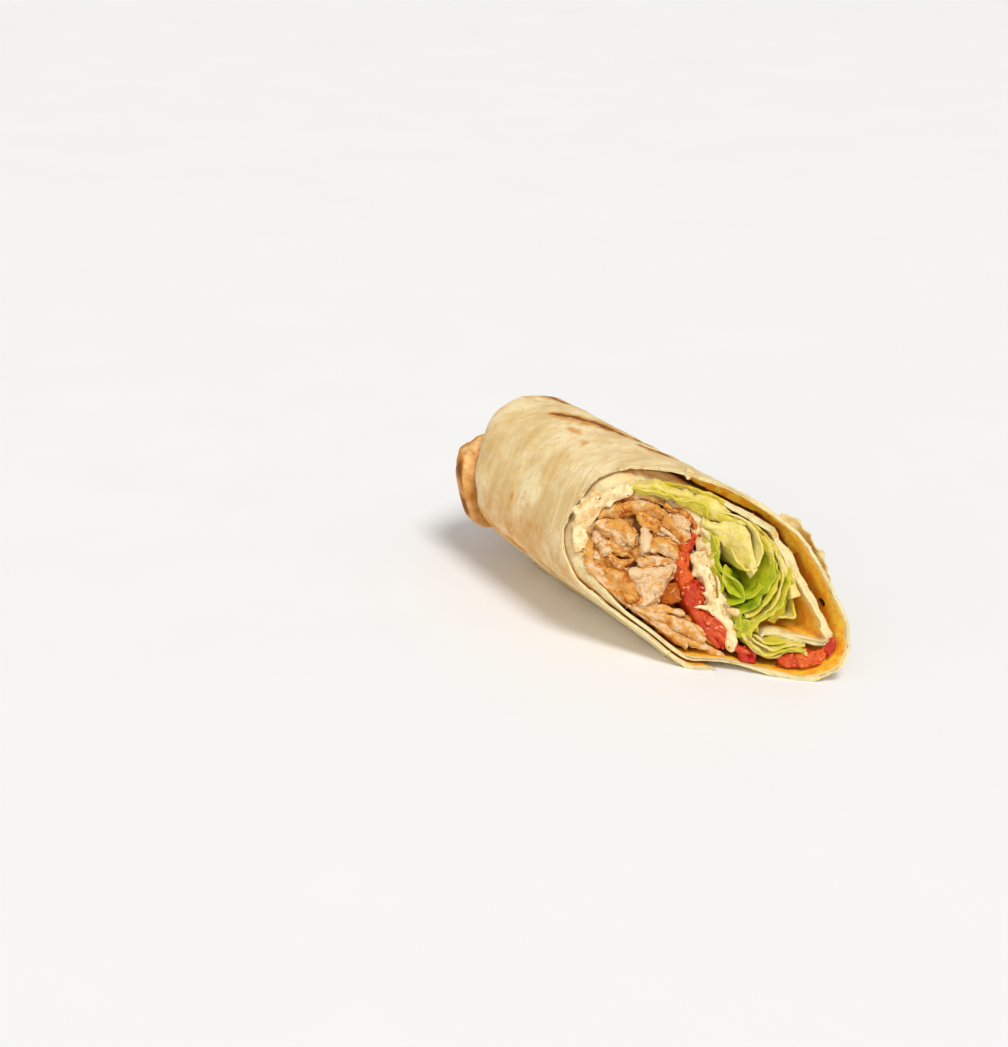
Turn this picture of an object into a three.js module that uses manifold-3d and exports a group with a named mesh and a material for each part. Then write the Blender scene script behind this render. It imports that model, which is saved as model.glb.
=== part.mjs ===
// One half of a grilled flatbread wrap, cut on the slant, filled with chicken, lettuce, tomato and dressing.
// Millimetres, +Z up. The roll lies along X: its folded end faces -X and its cut end faces +X.

import * as THREE from 'three';
import Module from 'manifold-3d';
import { mergeVertices } from 'three/addons/utils/BufferGeometryUtils.js';

const wasm = await Module();
wasm.setup();

// ---------------------------------------------------------------- driving dimensions

const REST_DEPTH = 26.5; // from the roll's axis down to the surface it lies on
const AXIS_Y = 1.3; // sets the axis so that the part's box is centred on the origin
const CUT_X = 44.3; // where the cut crosses the roll's axis
const SLANT = THREE.MathUtils.degToRad(46); // between the cut and a square cut
const SECTION_TILT = THREE.MathUtils.degToRad(34.6); // how far the section's long way dips to the right

const PRESSED = 0.7; // anything this near the surface is pressed flat on it

const BREAD = 1.6; // thickness of the flatbread
const TURN_GAP = 0.55; // between one turn and the next
// How far round the sheet is, in turns from its flap: where it climbs onto the flap and has climbed, where
// it leaves the outer turns, and where its edge has sunk to the inner turn's depth
const TURNS = { climbs: 0.92, climbed: 0.985, sinks: 1.4, leaves: 1.44, sunk: 1.62 };
const INNER_RECESS = 6.5; // how much deeper than the outer turns the inner turn's edge lies
const FOLD_X = -69.2; // where the folded end's wall crosses the roll's axis
const FOLD_SKEW = 0.35; // how far that wall leans back for each mm to the right or up
const FOLD_WALL = 3; // thickness of that wall
const FOLD_ROUND = 17; // over this length the roll rounds in towards its folded end
const FOLD_NARROWING = 0.76; // width left there
const TAPER = 0.045; // the roll is this share slimmer at its folded end
const FILLING_GAP = 1; // between the fillings and that wall
const TUCK = { y: -16.5, z: -2, halfWidth: 14.5, halfHeight: 14, depth: 12.5, root: 1.5 };

const LEAF = 0.9; // thickness of a lettuce leaf
const CORE_RECESS = 7; // how far the packed chicken lies behind its front pieces

// The section's outline as [y, z] from the roll's axis, anticlockwise from the flap's edge at the bottom
const SECTION = [
  [-3.6, -26.5], [8.2, -26.5], [18.9, -26], [25.8, -21.4], [29.4, -12], [27.7, 0], [23.8, 11.8],
  [14.9, 20.2], [3.9, 25.6], [-9, 26.8], [-19.4, 23.3], [-27, 15.3], [-32, 5.1], [-32.2, -4.7],
  [-26.4, -12.4], [-18.6, -19.2], [-10.4, -26.2],
];

// ---------------------------------------------------------------- places on the roll

const COS_TILT = Math.cos(SECTION_TILT);
const SIN_TILT = Math.sin(SECTION_TILT);

// Millimetres on the slanted face: a runs down to the right along its long way, b up across it.
// Both fold back onto the roll's square section as [y, z].
function fromFace(a, b) {
  const along = a * Math.cos(SLANT);
  return [along * COS_TILT + b * SIN_TILT, -along * SIN_TILT + b * COS_TILT];
}

function cutXAt(y, z) {
  return CUT_X + (y * COS_TILT - z * SIN_TILT) * Math.tan(SLANT);
}

function foldXAt(y, z) {
  return FOLD_X - FOLD_SKEW * (y + z);
}

// The roll keeps its section up to the fold, then rounds in
function place(x, y, z) {
  const into = THREE.MathUtils.clamp(1 - (x - foldXAt(y, z)) / FOLD_ROUND, 0, 1);
  const round = 1 - (1 - FOLD_NARROWING) * into ** 2.6;
  const slim = 1 - TAPER * ((CUT_X - x) / (CUT_X - FOLD_X));
  return new THREE.Vector3(x, AXIS_Y + y * round * slim, (z * round + REST_DEPTH) * slim);
}

// Small repeatable unevenness between -1 and 1
function uneven(seed) {
  const wave = Math.sin(seed * 12.9898) * 43758.5453;
  return 2 * (wave - Math.floor(wave)) - 1;
}

// Pushes a unit sphere's coordinate out towards a block's
function squared(value) {
  return Math.sign(value) * Math.abs(value) ** 0.75;
}

// ---------------------------------------------------------------- solids

function meshFrom(positions, triangles) {
  const geometry = new THREE.BufferGeometry();
  geometry.setAttribute('position', new THREE.Float32BufferAttribute(positions, 3));
  geometry.setIndex(triangles);
  return geometry;
}

function toManifold(geometry) {
  const bare = geometry.clone();
  bare.deleteAttribute('normal');
  bare.deleteAttribute('uv');
  const merged = mergeVertices(bare, 1e-4);
  return new wasm.Manifold(new wasm.Mesh({
    numProp: 3,
    vertProperties: new Float32Array(merged.attributes.position.array),
    triVerts: new Uint32Array(merged.index.array),
  }));
}

function fromManifold(solid) {
  const mesh = solid.getMesh();
  return meshFrom(Array.from(mesh.vertProperties), Array.from(mesh.triVerts));
}

// Where every piece has a ring of points: millimetres in front of the folded end, then shares of the rest
const FOLD_STATIONS = [1.5, 4, 7, 10, 13.5, FOLD_ROUND];
const CUT_STATIONS = [0.5, 0.93, 1];

// A solid drawn out along the roll from a closed outline of [y, z] points, anticlockwise from the cut end.
// back is how far in front of the folded end it starts, and front(i) how far point i stands out of the cut.
function drawOut(outline, back, front) {
  const positions = [];
  const addRing = (xAt) => {
    outline.forEach(([y, z], i) => {
      const point = place(xAt(y, z, i), y, z);
      positions.push(point.x, point.y, point.z);
    });
  };
  const depths = FOLD_STATIONS.filter((depth) => depth >= back);
  for (const depth of depths) {
    addRing((y, z) => foldXAt(y, z) + depth);
  }
  for (const share of CUT_STATIONS) {
    addRing((y, z, i) => THREE.MathUtils.lerp(foldXAt(y, z) + FOLD_ROUND, cutXAt(y, z) + front(i), share));
  }
  const ringCount = depths.length + CUT_STATIONS.length;
  const count = outline.length;
  const triangles = [];
  for (let s = 0; s + 1 < ringCount; s += 1) {
    for (let i = 0; i < count; i += 1) {
      const next = (i + 1) % count;
      const low = s * count;
      const high = low + count;
      triangles.push(low + i, high + next, high + i, low + i, low + next, high + next);
    }
  }
  const cap = THREE.ShapeUtils.triangulateShape(outline.map(([y, z]) => new THREE.Vector2(y, z)), []);
  const last = (ringCount - 1) * count;
  for (const [i, j, k] of cap) {
    triangles.push(i, k, j, last + i, last + j, last + k);
  }
  return meshFrom(positions, triangles);
}

function curveThrough(points, closed) {
  const stops = points.map(([y, z]) => new THREE.Vector3(y, z, 0));
  return new THREE.CatmullRomCurve3(stops, closed, 'centripetal');
}

function smoothLoop(points, count) {
  return curveThrough(points, true).getSpacedPoints(count).slice(0, count).map((point) => [point.x, point.y]);
}

function smoothLine(points, step) {
  const curve = curveThrough(points, false);
  const count = Math.max(2, Math.round(curve.getLength() / step));
  return curve.getSpacedPoints(count).map((point) => [point.x, point.y]);
}

// Both sides of a line, as one closed anticlockwise outline
function thicken(line, thickness) {
  const left = [];
  const right = [];
  line.forEach(([y, z], i) => {
    const [y0, z0] = line[Math.max(i - 1, 0)];
    const [y1, z1] = line[Math.min(i + 1, line.length - 1)];
    const length = Math.hypot(y1 - y0, z1 - z0);
    const side = thickness / 2 / length;
    left.push([y - (z1 - z0) * side, z + (y1 - y0) * side]);
    right.push([y + (z1 - z0) * side, z - (y1 - y0) * side]);
  });
  return right.concat(left.reverse());
}

function isAnticlockwise(outline) {
  return !THREE.ShapeUtils.isClockWise(outline.map(([y, z]) => new THREE.Vector2(y, z)));
}

function anticlockwise(outline) {
  return isAnticlockwise(outline) ? outline : outline.slice().reverse();
}

// A sheet drawn out from both sides of its line, as thicken gives them. stand(k) is how far point k of the
// line stands out of the cut.
function drawOutSheet(outline, back, stand) {
  const flip = !isAnticlockwise(outline);
  const ordered = flip ? outline.slice().reverse() : outline;
  const last = outline.length - 1;
  const front = (i) => {
    const side = flip ? last - i : i;
    return stand(Math.min(side, last - side));
  };
  return toManifold(drawOut(ordered, back, front));
}

// ---------------------------------------------------------------- flatbread

const LOOP_POINTS = 44;
const loop = smoothLoop(SECTION, LOOP_POINTS);

// A point on the section's outline, moved inwards
function onLoop(index, inset) {
  const at = (k) => loop[((k % LOOP_POINTS) + LOOP_POINTS) % LOOP_POINTS];
  const [y0, z0] = at(index - 1);
  const [y, z] = at(index);
  const [y1, z1] = at(index + 1);
  const length = Math.hypot(y1 - y0, z1 - z0);
  return [y - ((z1 - z0) / length) * inset, z + ((y1 - y0) / length) * inset];
}

// The sheet's last stretch lies inside the roll: it leaves the outer turns at the top, runs down the right
// side, folds sharply in the corner and ends in a small curl. Points are [a, b] on the face.
const INNER_TURN = [
  [-19, 19.5], [-9, 20.3], [1, 21.6], [11, 20.8], [20, 16.6], [29, 10.6], [38, 5.4], [43.5, 0.4],
];
const INNER_RETURN = [[41.5, -1.6], [35, -3.9], [27.5, -6], [25.4, -8], [26.6, -9.2]];

// The rolled sheet's middle line, from its flap under the roll, clockwise and inwards
function sheetLine() {
  const pitch = BREAD + TURN_GAP;
  const line = [];
  for (let i = 0; i <= LOOP_POINTS * TURNS.leaves; i += 1) {
    const climb = THREE.MathUtils.smoothstep(i / LOOP_POINTS, TURNS.climbs, TURNS.climbed);
    line.push(onLoop(-i, BREAD / 2 + pitch * climb));
  }
  const inner = smoothLine(INNER_TURN.map(([a, b]) => fromFace(a, b)), 4);
  const back = smoothLine(INNER_RETURN.map(([a, b]) => fromFace(a, b)), 3);
  return line.concat(inner, back);
}

// The layers' edges step back a little from one another, and the inner turn lies deeper
function breadSolid() {
  const press = ([y, z]) => [y, z < PRESSED - REST_DEPTH ? -REST_DEPTH : z];
  const outline = thicken(sheetLine(), BREAD).map(press);
  return drawOutSheet(outline, FOLD_WALL / 2, (k) => {
    const inner = THREE.MathUtils.smoothstep(k / LOOP_POINTS, TURNS.sinks, TURNS.sunk);
    return 0.7 * uneven(k) + 1.2 * Math.sin(k * 0.55) - INNER_RECESS * inner;
  });
}

// The folded end: a wall across the roll, rounded at its rim
function endWall() {
  const positions = [];
  const rings = [[FOLD_WALL, 1], [FOLD_WALL * 0.4, 0.97], [0, 0.84], [-1, 0.55]];
  for (const [depth, size] of rings) {
    for (const [y, z] of loop) {
      const point = place(foldXAt(y * size, z * size) + depth, y * size, z * size);
      positions.push(point.x, point.y, point.z);
    }
  }
  const count = loop.length;
  const triangles = [];
  for (let r = 0; r + 1 < rings.length; r += 1) {
    for (let i = 0; i < count; i += 1) {
      const next = (i + 1) % count;
      const low = r * count;
      const high = low + count;
      triangles.push(low + i, high + i, high + next, low + i, high + next, low + next);
    }
  }
  const cap = THREE.ShapeUtils.triangulateShape(loop.map(([y, z]) => new THREE.Vector2(y, z)), []);
  const last = (rings.length - 1) * count;
  for (const [i, j, k] of cap) {
    triangles.push(i, j, k, last + i, last + k, last + j);
  }
  return toManifold(meshFrom(positions, triangles));
}

// The tuck: the sheet's end, pressed flat and turned over the left of the folded end like an envelope's flap
function tuck() {
  const shape = new THREE.SphereGeometry(1, 18, 12);
  const position = shape.attributes.position;
  for (let i = 0; i < position.count; i += 1) {
    const across = position.getX(i);
    const up = position.getY(i);
    const out = position.getZ(i);
    const reach = out > 0 ? TUCK.depth * out ** 0.8 : TUCK.root * out;
    const y = TUCK.y + TUCK.halfWidth * squared(across);
    const z = TUCK.z + TUCK.halfHeight * squared(up);
    position.setXYZ(i, foldXAt(y, z) - reach, AXIS_Y + y, REST_DEPTH + z);
  }
  const outwards = shape.index.array;
  for (let i = 0; i < outwards.length; i += 3) {
    [outwards[i + 1], outwards[i + 2]] = [outwards[i + 2], outwards[i + 1]];
  }
  return toManifold(shape);
}

function flatbread() {
  return fromManifold(breadSolid().add(endWall()).add(tuck()));
}

// ---------------------------------------------------------------- fillings

// A filling packed along the roll: outline as [a, b] on the face, smoothed, with a bumpy front
function packed(points, count, seed, recess, bump) {
  const outline = anticlockwise(smoothLoop(points.map(([a, b]) => fromFace(a, b)), count));
  return drawOut(outline, FOLD_WALL + FILLING_GAP, (i) => -recess + bump * uneven(seed + i));
}

// A leaf, slice or strand seen edge on at the cut: a line of [a, b] given a thickness, its front edge frilled
function leaf(points, { thickness = LEAF, step = 2, recess = 0, frill = 1.6, pace = 1.4, ripple = 0.35 }) {
  const rough = smoothLine(points.map(([a, b]) => fromFace(a, b)), step);
  const line = rough.map(([y, z], i) => {
    const [y0, z0] = rough[Math.max(i - 1, 0)];
    const [y1, z1] = rough[Math.min(i + 1, rough.length - 1)];
    const length = Math.hypot(y1 - y0, z1 - z0);
    const off = ripple * Math.sin(i * pace);
    return [y - ((z1 - z0) / length) * off, z + ((y1 - y0) / length) * off];
  });
  const stand = (k) => -recess + frill * Math.sin(k * pace + 1);
  return fromManifold(drawOutSheet(thicken(line, thickness), FOLD_WALL + FILLING_GAP, stand));
}

const CHICKEN_CORE = [
  [-36, -3.6], [-36, 2], [-32, 7], [-25, 10.2], [-16, 11.6], [-11.5, 9.4], [-12.2, 4], [-11.5, -1],
  [-7.6, -6.4], [-2, -11], [5, -15], [7.4, -17.8], [-1, -19.5], [-10, -20.1], [-20, -19.3],
  [-28.6, -16.3], [-34.2, -10.9],
];

// Chunks of chicken at the cut: middle on the face, half sizes along a, along b and out of the face, and turn
const CHUNKS = [
  { at: [-29, 2.2], half: [7, 3.2, 5], turn: 20 },
  { at: [-27, -3.6], half: [5.4, 4, 6], turn: -12 },
  { at: [-30.5, -9.4], half: [3.6, 4, 5], turn: 5 },
  { at: [-18.6, -2], half: [1.6, 4.6, 4], turn: 30 },
  { at: [-21, 6.6], half: [5.6, 2.9, 5], turn: 22 },
  { at: [-15.6, 6.6], half: [2.6, 1.9, 4], turn: -8 },
  { at: [-14, 0.6], half: [2.6, 3.2, 5], turn: 35 },
  { at: [-12.4, -10.4], half: [5.8, 5, 6], turn: 30 },
  { at: [-21.4, -14.8], half: [6.2, 3.6, 5], turn: -12 },
  { at: [-13.6, -4.6], half: [4.4, 1.6, 4], turn: 32 },
  { at: [-3.4, -15], half: [6.4, 2.2, 5], turn: 4 },
];

// A chunk as a softened block with few sides, its corners a little uneven
function chunk({ at, half, turn }, seed) {
  const shape = new THREE.IcosahedronGeometry(1, 1);
  shape.deleteAttribute('normal');
  shape.deleteAttribute('uv');
  const merged = mergeVertices(shape, 1e-4);
  const angle = THREE.MathUtils.degToRad(turn);
  const position = merged.attributes.position;
  for (let i = 0; i < position.count; i += 1) {
    const corner = [position.getX(i), position.getY(i), position.getZ(i)];
    const block = corner.map(squared);
    const [u, v, w] = block.map((value, k) => value * half[k] * (1 + 0.12 * uneven(seed * 7 + i * 3 + k)));
    const a = at[0] + u * Math.cos(angle) - v * Math.sin(angle);
    const b = at[1] + u * Math.sin(angle) + v * Math.cos(angle);
    const [y, z] = fromFace(a, b);
    const point = place(cutXAt(y, z) + w - half[2] * 0.55, y, z);
    position.setXYZ(i, point.x, point.y, point.z);
  }
  return toManifold(merged);
}

function chicken() {
  let heap = toManifold(packed(CHICKEN_CORE, 30, 3, CORE_RECESS, 1.2));
  CHUNKS.forEach((spec, i) => {
    heap = heap.add(chunk(spec, i));
  });
  const limit = toManifold(packed(CHICKEN_ROOM, 34, 0, -9, 0));
  return fromManifold(heap.intersect(limit));
}

// The room that the chicken fills, between the flatbread, the lettuce and the tomato
const CHICKEN_ROOM = [
  [-37.4, -3.6], [-37.2, 2.4], [-33, 8.2], [-25, 11.4], [-16, 12.6], [-10.4, 10.4], [-10.8, 4],
  [-10, -1.4], [-6, -7], [0, -12], [8, -16], [10.5, -18.6], [0, -20.6], [-10, -21.2], [-20, -20.3],
  [-29.4, -17.2], [-35.2, -11.4],
];

// ---------------------------------------------------------------- the finished wrap

const LOOKS = {
  bread: { color: 0xe9cf9d, roughness: 0.75 },
  chicken: { color: 0xc98f5c, roughness: 0.55 },
  tomato: { color: 0xd8402a, roughness: 0.3 },
  lettuce: { color: 0xb7c95a, roughness: 0.4 },
  dressing: { color: 0xf0dcc0, roughness: 0.35 },
};

const wrap = new THREE.Group();

function addPiece(name, geometry, look) {
  const material = new THREE.MeshStandardMaterial({ ...LOOKS[look], metalness: 0 });
  const mesh = new THREE.Mesh(geometry, material);
  mesh.name = name;
  wrap.add(mesh);
}

addPiece('flatbread', flatbread(), 'bread');
addPiece('chicken', chicken(), 'chicken');

const TOMATO = {
  tomato_slice_middle: {
    points: [[-8, 6.4], [-7.6, 1.4], [-5.4, -3.6], [-0.6, -8.2], [5.2, -12.2], [11, -15.4], [16, -17.4]],
    thickness: 3.2, recess: 1.5, frill: 0.8,
  },
  tomato_slice_end: {
    points: [[17.8, -15.4], [21.2, -15], [24.4, -14.3]],
    thickness: 2.2, recess: 1, frill: 0.4,
  },
  tomato_slice_corner: {
    points: [[32.6, -11], [35.6, -9], [38.4, -6.7], [40.6, -4.7]],
    thickness: 2, recess: 1.5, frill: 0.8,
  },
};
for (const [name, { points, ...shape }] of Object.entries(TOMATO)) {
  addPiece(name, leaf(points, { ripple: 0.2, ...shape }), 'tomato');
}

addPiece('dressing', leaf(
  [[-2.5, 3.2], [-0.6, 0.5], [3.6, -3.2], [8.4, -7.2], [13.2, -10.8], [16.4, -12.8]],
  { thickness: 2.6, recess: 1.5, frill: 1.2, ripple: 0.3 },
), 'dressing');

const LETTUCE = {
  lettuce_leaf_top: [[-34, 7.6], [-30, 11], [-24.4, 13], [-18, 14.2], [-11, 15.6], [-8, 13.4]],
  lettuce_leaf_pale: [
    [-5.6, 17], [0, 17.8], [6, 17.2], [10.6, 13.2], [12.6, 8.6], [10.6, 5.6], [6.4, 6.6], [2.4, 9],
  ],
  lettuce_leaf_heart: [
    [-5.4, 10.6], [-1.6, 7.4], [1.6, 3.8], [6.2, 2], [10.6, 1.2], [13.4, -1.8], [10.4, -5],
  ],
  lettuce_leaf_green: [[14.2, 14], [17, 9.4], [18.4, 4], [17.8, -1.4], [15.2, -5.6], [16.4, -9.2]],
  lettuce_leaf_rib: [[20.6, 12.6], [23.4, 7.6], [24.4, 2], [22.6, -2.6], [20.4, -6.6], [20.4, -10.4]],
  lettuce_leaf_outer: [[27, 8.4], [30.4, 4.6], [32.6, 1], [28.2, -1.6], [25.4, -3.4]],
  lettuce_leaf_low: [[21, -12], [24.6, -12.4], [28.4, -11.7], [31.2, -8.4], [34, -6.5], [36.8, -5.3]],
};
for (const [name, points] of Object.entries(LETTUCE)) {
  addPiece(name, leaf(points, {}), 'lettuce');
}

export default wrap;
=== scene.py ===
# %% [markdown]
# # Half a grilled wrap, cut on the slant
# A flatbread is rolled round chicken, lettuce, tomato and dressing, toasted on a grill and cut on the slant. This
# lesson gives it its looks. A CAD model already fixes where everything lies: we load it as a frame, and build a
# finer piece for every solid in it, in the same place and at the same size.
# Everything is in metres in Blender, but a cook thinks in millimetres, so the sizes below are millimetres.

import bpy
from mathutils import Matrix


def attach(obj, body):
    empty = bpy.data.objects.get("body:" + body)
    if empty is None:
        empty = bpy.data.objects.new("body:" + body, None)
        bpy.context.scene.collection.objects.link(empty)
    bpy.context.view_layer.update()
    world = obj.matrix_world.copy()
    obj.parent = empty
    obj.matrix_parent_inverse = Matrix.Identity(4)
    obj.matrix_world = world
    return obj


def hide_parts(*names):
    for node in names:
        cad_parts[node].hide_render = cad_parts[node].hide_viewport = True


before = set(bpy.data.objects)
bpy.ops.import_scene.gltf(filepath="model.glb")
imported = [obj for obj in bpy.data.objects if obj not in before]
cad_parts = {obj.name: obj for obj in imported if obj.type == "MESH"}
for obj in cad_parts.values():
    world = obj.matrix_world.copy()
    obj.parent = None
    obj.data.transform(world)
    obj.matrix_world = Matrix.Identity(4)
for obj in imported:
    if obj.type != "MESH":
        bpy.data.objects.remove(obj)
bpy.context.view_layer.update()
print("solids in the frame:", sorted(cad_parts))

# %% Libraries and the roll's main sizes
import itertools
import math

import bpy
import numpy as np
from mathutils import Matrix, Vector

MM = 0.001
REST_DEPTH = 26.5  # from the roll's axis down to the surface it lies on
AXIS_Y = 1.3
CUT_X = 44.3  # where the cut crosses the roll's axis
SLANT = math.radians(46)
SECTION_TILT = math.radians(34.6)  # how far the section's long way dips to the right
BREAD = 1.6  # thickness of the flatbread
TURN_GAP = 0.55  # between one turn and the next
FOLD_X = -69.2  # where the folded end's wall crosses the axis
FOLD_SKEW = 0.35
FOLD_ROUND = 17  # over this length the roll rounds in towards its folded end
FOLD_NARROWING = 0.76  # its share of the full size there
FOLD_CURVE = 2.6  # the larger, the later it rounds in
TAPER = 0.045  # how much slimmer the roll is at its folded end
FILLING_START = 4  # the fillings begin this far in front of the folded end

# %% [markdown]
# ## Where things lie
# The roll's section is a soft oval. The cut crosses it at a slant, so the cut face is a longer oval. We name
# places on that face with three millimetre numbers: a runs down to the right along the face's long way, b runs
# up across it, and depth says how far behind the cut a point lies. One function turns these into real places,
# and every filling is drawn with it. So a slice that touches its neighbour on the face touches it in space too.

# %% Places on the roll
SECTION = [
    (-3.6, -26.5), (8.2, -26.5), (18.9, -26), (25.8, -21.4), (29.4, -12), (27.7, 0), (23.8, 11.8),
    (14.9, 20.2), (3.9, 25.6), (-9, 26.8), (-19.4, 23.3), (-27, 15.3), (-32, 5.1), (-32.2, -4.7),
    (-26.4, -12.4), (-18.6, -19.2), (-10.4, -26.2),
]
COS_TILT, SIN_TILT = math.cos(SECTION_TILT), math.sin(SECTION_TILT)


def section_from_face(a, b):
    """Folds a place on the slanted face back onto the roll's square section."""
    along = a * math.cos(SLANT)
    return along * COS_TILT + b * SIN_TILT, -along * SIN_TILT + b * COS_TILT


def cut_x(y, z):
    return CUT_X + (y * COS_TILT - z * SIN_TILT) * math.tan(SLANT)


def fold_x(y, z):
    return FOLD_X - FOLD_SKEW * (y + z)


def place(x, y, z):
    """Puts a section point y, z at x along the roll, which rounds in at its folded end. Returns metres."""
    into = np.clip(1 - (x - fold_x(y, z)) / FOLD_ROUND, 0, 1)
    narrow = 1 - (1 - FOLD_NARROWING) * into**FOLD_CURVE
    slim = 1 - TAPER * (CUT_X - x) / (CUT_X - FOLD_X)
    return np.stack([x, AXIS_Y + y * narrow * slim, (z * narrow + REST_DEPTH) * slim], axis=-1) * MM


def food(spot):
    """The real place of face spots (a, b, depth)."""
    a, b, depth = spot[..., 0], spot[..., 1], spot[..., 2]
    y, z = section_from_face(a, b)
    x = np.maximum(cut_x(y, z) - depth, fold_x(y, z) + FILLING_START)
    return place(x, y, z)


# %% Smooth lines through a few given points
def smooth_line(points, closed=False, fine=24):
    """A centripetal Catmull-Rom curve: it goes through every point and never overshoots a sharp corner."""
    points = np.array(points, float)
    count = len(points)
    pieces = []
    for i in range(count if closed else count - 1):
        p1, p2 = points[i], points[(i + 1) % count]
        p0 = points[i - 1] if closed or i > 0 else 2 * p1 - p2
        p3 = points[(i + 2) % count] if closed or i + 2 < count else 2 * p2 - p1
        d0, d1, d2 = (max(np.linalg.norm(q - p), 1e-4) ** 0.5 for p, q in ((p0, p1), (p1, p2), (p2, p3)))
        out = ((p1 - p0) / d0 - (p2 - p0) / (d0 + d1) + (p2 - p1) / d1) * d1
        into = ((p2 - p1) / d1 - (p3 - p1) / (d1 + d2) + (p3 - p2) / d2) * d1
        t = np.linspace(0, 1, fine, endpoint=False)[:, None]
        pieces.append(
            (2 * t**3 - 3 * t**2 + 1) * p1 + (t**3 - 2 * t**2 + t) * out
            + (3 * t**2 - 2 * t**3) * p2 + (t**3 - t**2) * into
        )
    pieces.append(points[:1] if closed else points[-1:])
    return np.concatenate(pieces)


def lengths(line):
    return np.concatenate([[0], np.cumsum(np.linalg.norm(np.diff(line, axis=0), axis=1))])


def at_lengths(line, where):
    measured = lengths(line)
    return np.stack([np.interp(where, measured, line[:, k]) for k in range(line.shape[1])], axis=-1)


def evenly(line, count):
    return at_lengths(line, np.linspace(0, lengths(line)[-1], count))


def spaced(line, step):
    """The same line with its points about step apart."""
    return evenly(line, int(lengths(line)[-1] / step))


def left_of(direction):
    """Unit vectors square to flat directions, on their left."""
    direction = direction / np.linalg.norm(direction, axis=-1, keepdims=True)
    return np.stack([-direction[..., 1], direction[..., 0]], axis=-1)


def smoothstep(value, low, high):
    t = np.clip((value - low) / (high - low), 0, 1)
    return t * t * (3 - 2 * t)


def lerp(a, b, t):
    return a + (b - a) * t


loop = smooth_line(SECTION, closed=True)
PERIMETER = lengths(loop)[-1]
print(f"the roll measures {PERIMETER:.0f} mm round")

# %% [markdown]
# ## Unevenness
# Food has no straight lines. One noise function gives smooth random numbers between -1 and 1 at any place, and
# the same ones each time. Its size is the width of a bump in millimetres. A long size along one direction and
# a short size across it gives fibres, wrinkles and veins. Each seed gives other bumps of the same kind.

# %% Smooth noise for shapes
SEED_SHIFT = 31.7  # each seed looks at another region of the noise, this many bumps away


def hashed(cells, seed):
    """A number from -1 to 1 for each cell. The large primes only scramble the cell's own three numbers."""
    with np.errstate(over="ignore"):
        mixed = cells[..., 0] * 73856093 ^ cells[..., 1] * 19349663 ^ cells[..., 2] * 83492791 ^ (seed * 2654435761)
        mixed = (mixed ^ (mixed >> 13)) * 1274126177
    return ((mixed ^ (mixed >> 16)) & 0xFFFF) / 32767.5 - 1


def wander(points, size, seed=0):
    """Smooth noise from -1 to 1 at points given in millimetres; size is one number or one for each axis."""
    scaled = np.asarray(points, float) / np.asarray(size, float) + SEED_SHIFT * (seed + 1)
    cell = np.floor(scaled).astype(np.int64)
    part = scaled - cell
    part = part**3 * (part * (6 * part - 15) + 10)
    total = 0
    for corner in itertools.product((0, 1), repeat=3):
        weight = np.prod(np.where(np.array(corner) == 1, part, 1 - part), axis=-1)
        total = total + weight * hashed(cell + np.array(corner), seed)
    return total


def wander_up(points, size, seed=0, octaves=3):
    """Noise with finer and finer noise on top of it."""
    return sum(wander(points, np.asarray(size) / 2**k, seed + 11 * k) / 2**k for k in range(octaves)) / 1.6


def ridges(points, size, seed=0, sharp=3):
    """Thin raised lines, 0 between them and 1 on them."""
    return (1 - np.abs(wander(points, size, seed))) ** sharp


def on_line(s):
    """Points for the noise, at distances s along a line."""
    return np.stack([s, 0 * s, 0 * s], -1)


def on_sheet(x, s):
    """Points for the noise, at x and s on a flat sheet."""
    return np.stack([x, s, 0 * x], -1)


# %% [markdown]
# ## Closed shells
# Every piece here is a loft: rings of points, one after another, joined by quads and closed at both ends. A
# sheet of bread or a leaf is a loft too, where each ring runs along the top, round the edge and back along the
# underside. So each piece is a closed solid with real thickness. Numbers stored on the points, such as how
# toasted the bread is there, go with the mesh and are read by its material.

# %% Lofts and the pieces they are gathered in
class Shells:
    """Closed shells gathered into one mesh, with named numbers on their points."""

    def __init__(self):
        self.points, self.faces, self.marks, self.count = [], [], {}, 0

    def loft(self, rings, **marks):
        """rings is an array: ring, point on the ring, x y z in metres. marks are numbers for each point."""
        rows, around = rings.shape[:2]
        index = np.arange(rows * around).reshape(rows, around)
        after = np.roll(index, -1, axis=1)
        quads = np.stack([index[:-1], after[:-1], after[1:], index[1:]], axis=-1).reshape(-1, 4)
        flat = rings.reshape(-1, 3)
        middle = flat.mean(0)
        corners = flat[quads] - middle
        volume = sum(
            np.einsum("ij,ij->i", corners[:, 0], np.cross(corners[:, i], corners[:, i + 1])).sum() for i in (1, 2)
        )
        caps = [index[0][::-1].tolist(), index[-1].tolist()]
        if volume < 0:
            quads = quads[:, ::-1]
            caps = [cap[::-1] for cap in caps]
        self.points.append(flat)
        self.faces += (quads + self.count).tolist() + [[i + self.count for i in cap] for cap in caps]
        for name in set(marks) | set(self.marks):
            held = self.marks.setdefault(name, [np.zeros(self.count)] if self.count else [])
            held.append(np.broadcast_to(marks.get(name, 0.0), (rows, around)).reshape(-1))
        self.count += rows * around

    def build(self, name):
        mesh = bpy.data.meshes.new(name)
        mesh.from_pydata(np.concatenate(self.points).tolist(), [], self.faces)
        for mark, parts in self.marks.items():
            layer = mesh.attributes.new(mark, "FLOAT", "POINT")
            layer.data.foreach_set("value", np.concatenate(parts).astype(np.float32))
        mesh.polygons.foreach_set("use_smooth", [True] * len(mesh.polygons))
        mesh.update()
        piece = bpy.data.objects.new(name, mesh)
        bpy.context.scene.collection.objects.link(piece)
        return piece


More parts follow.
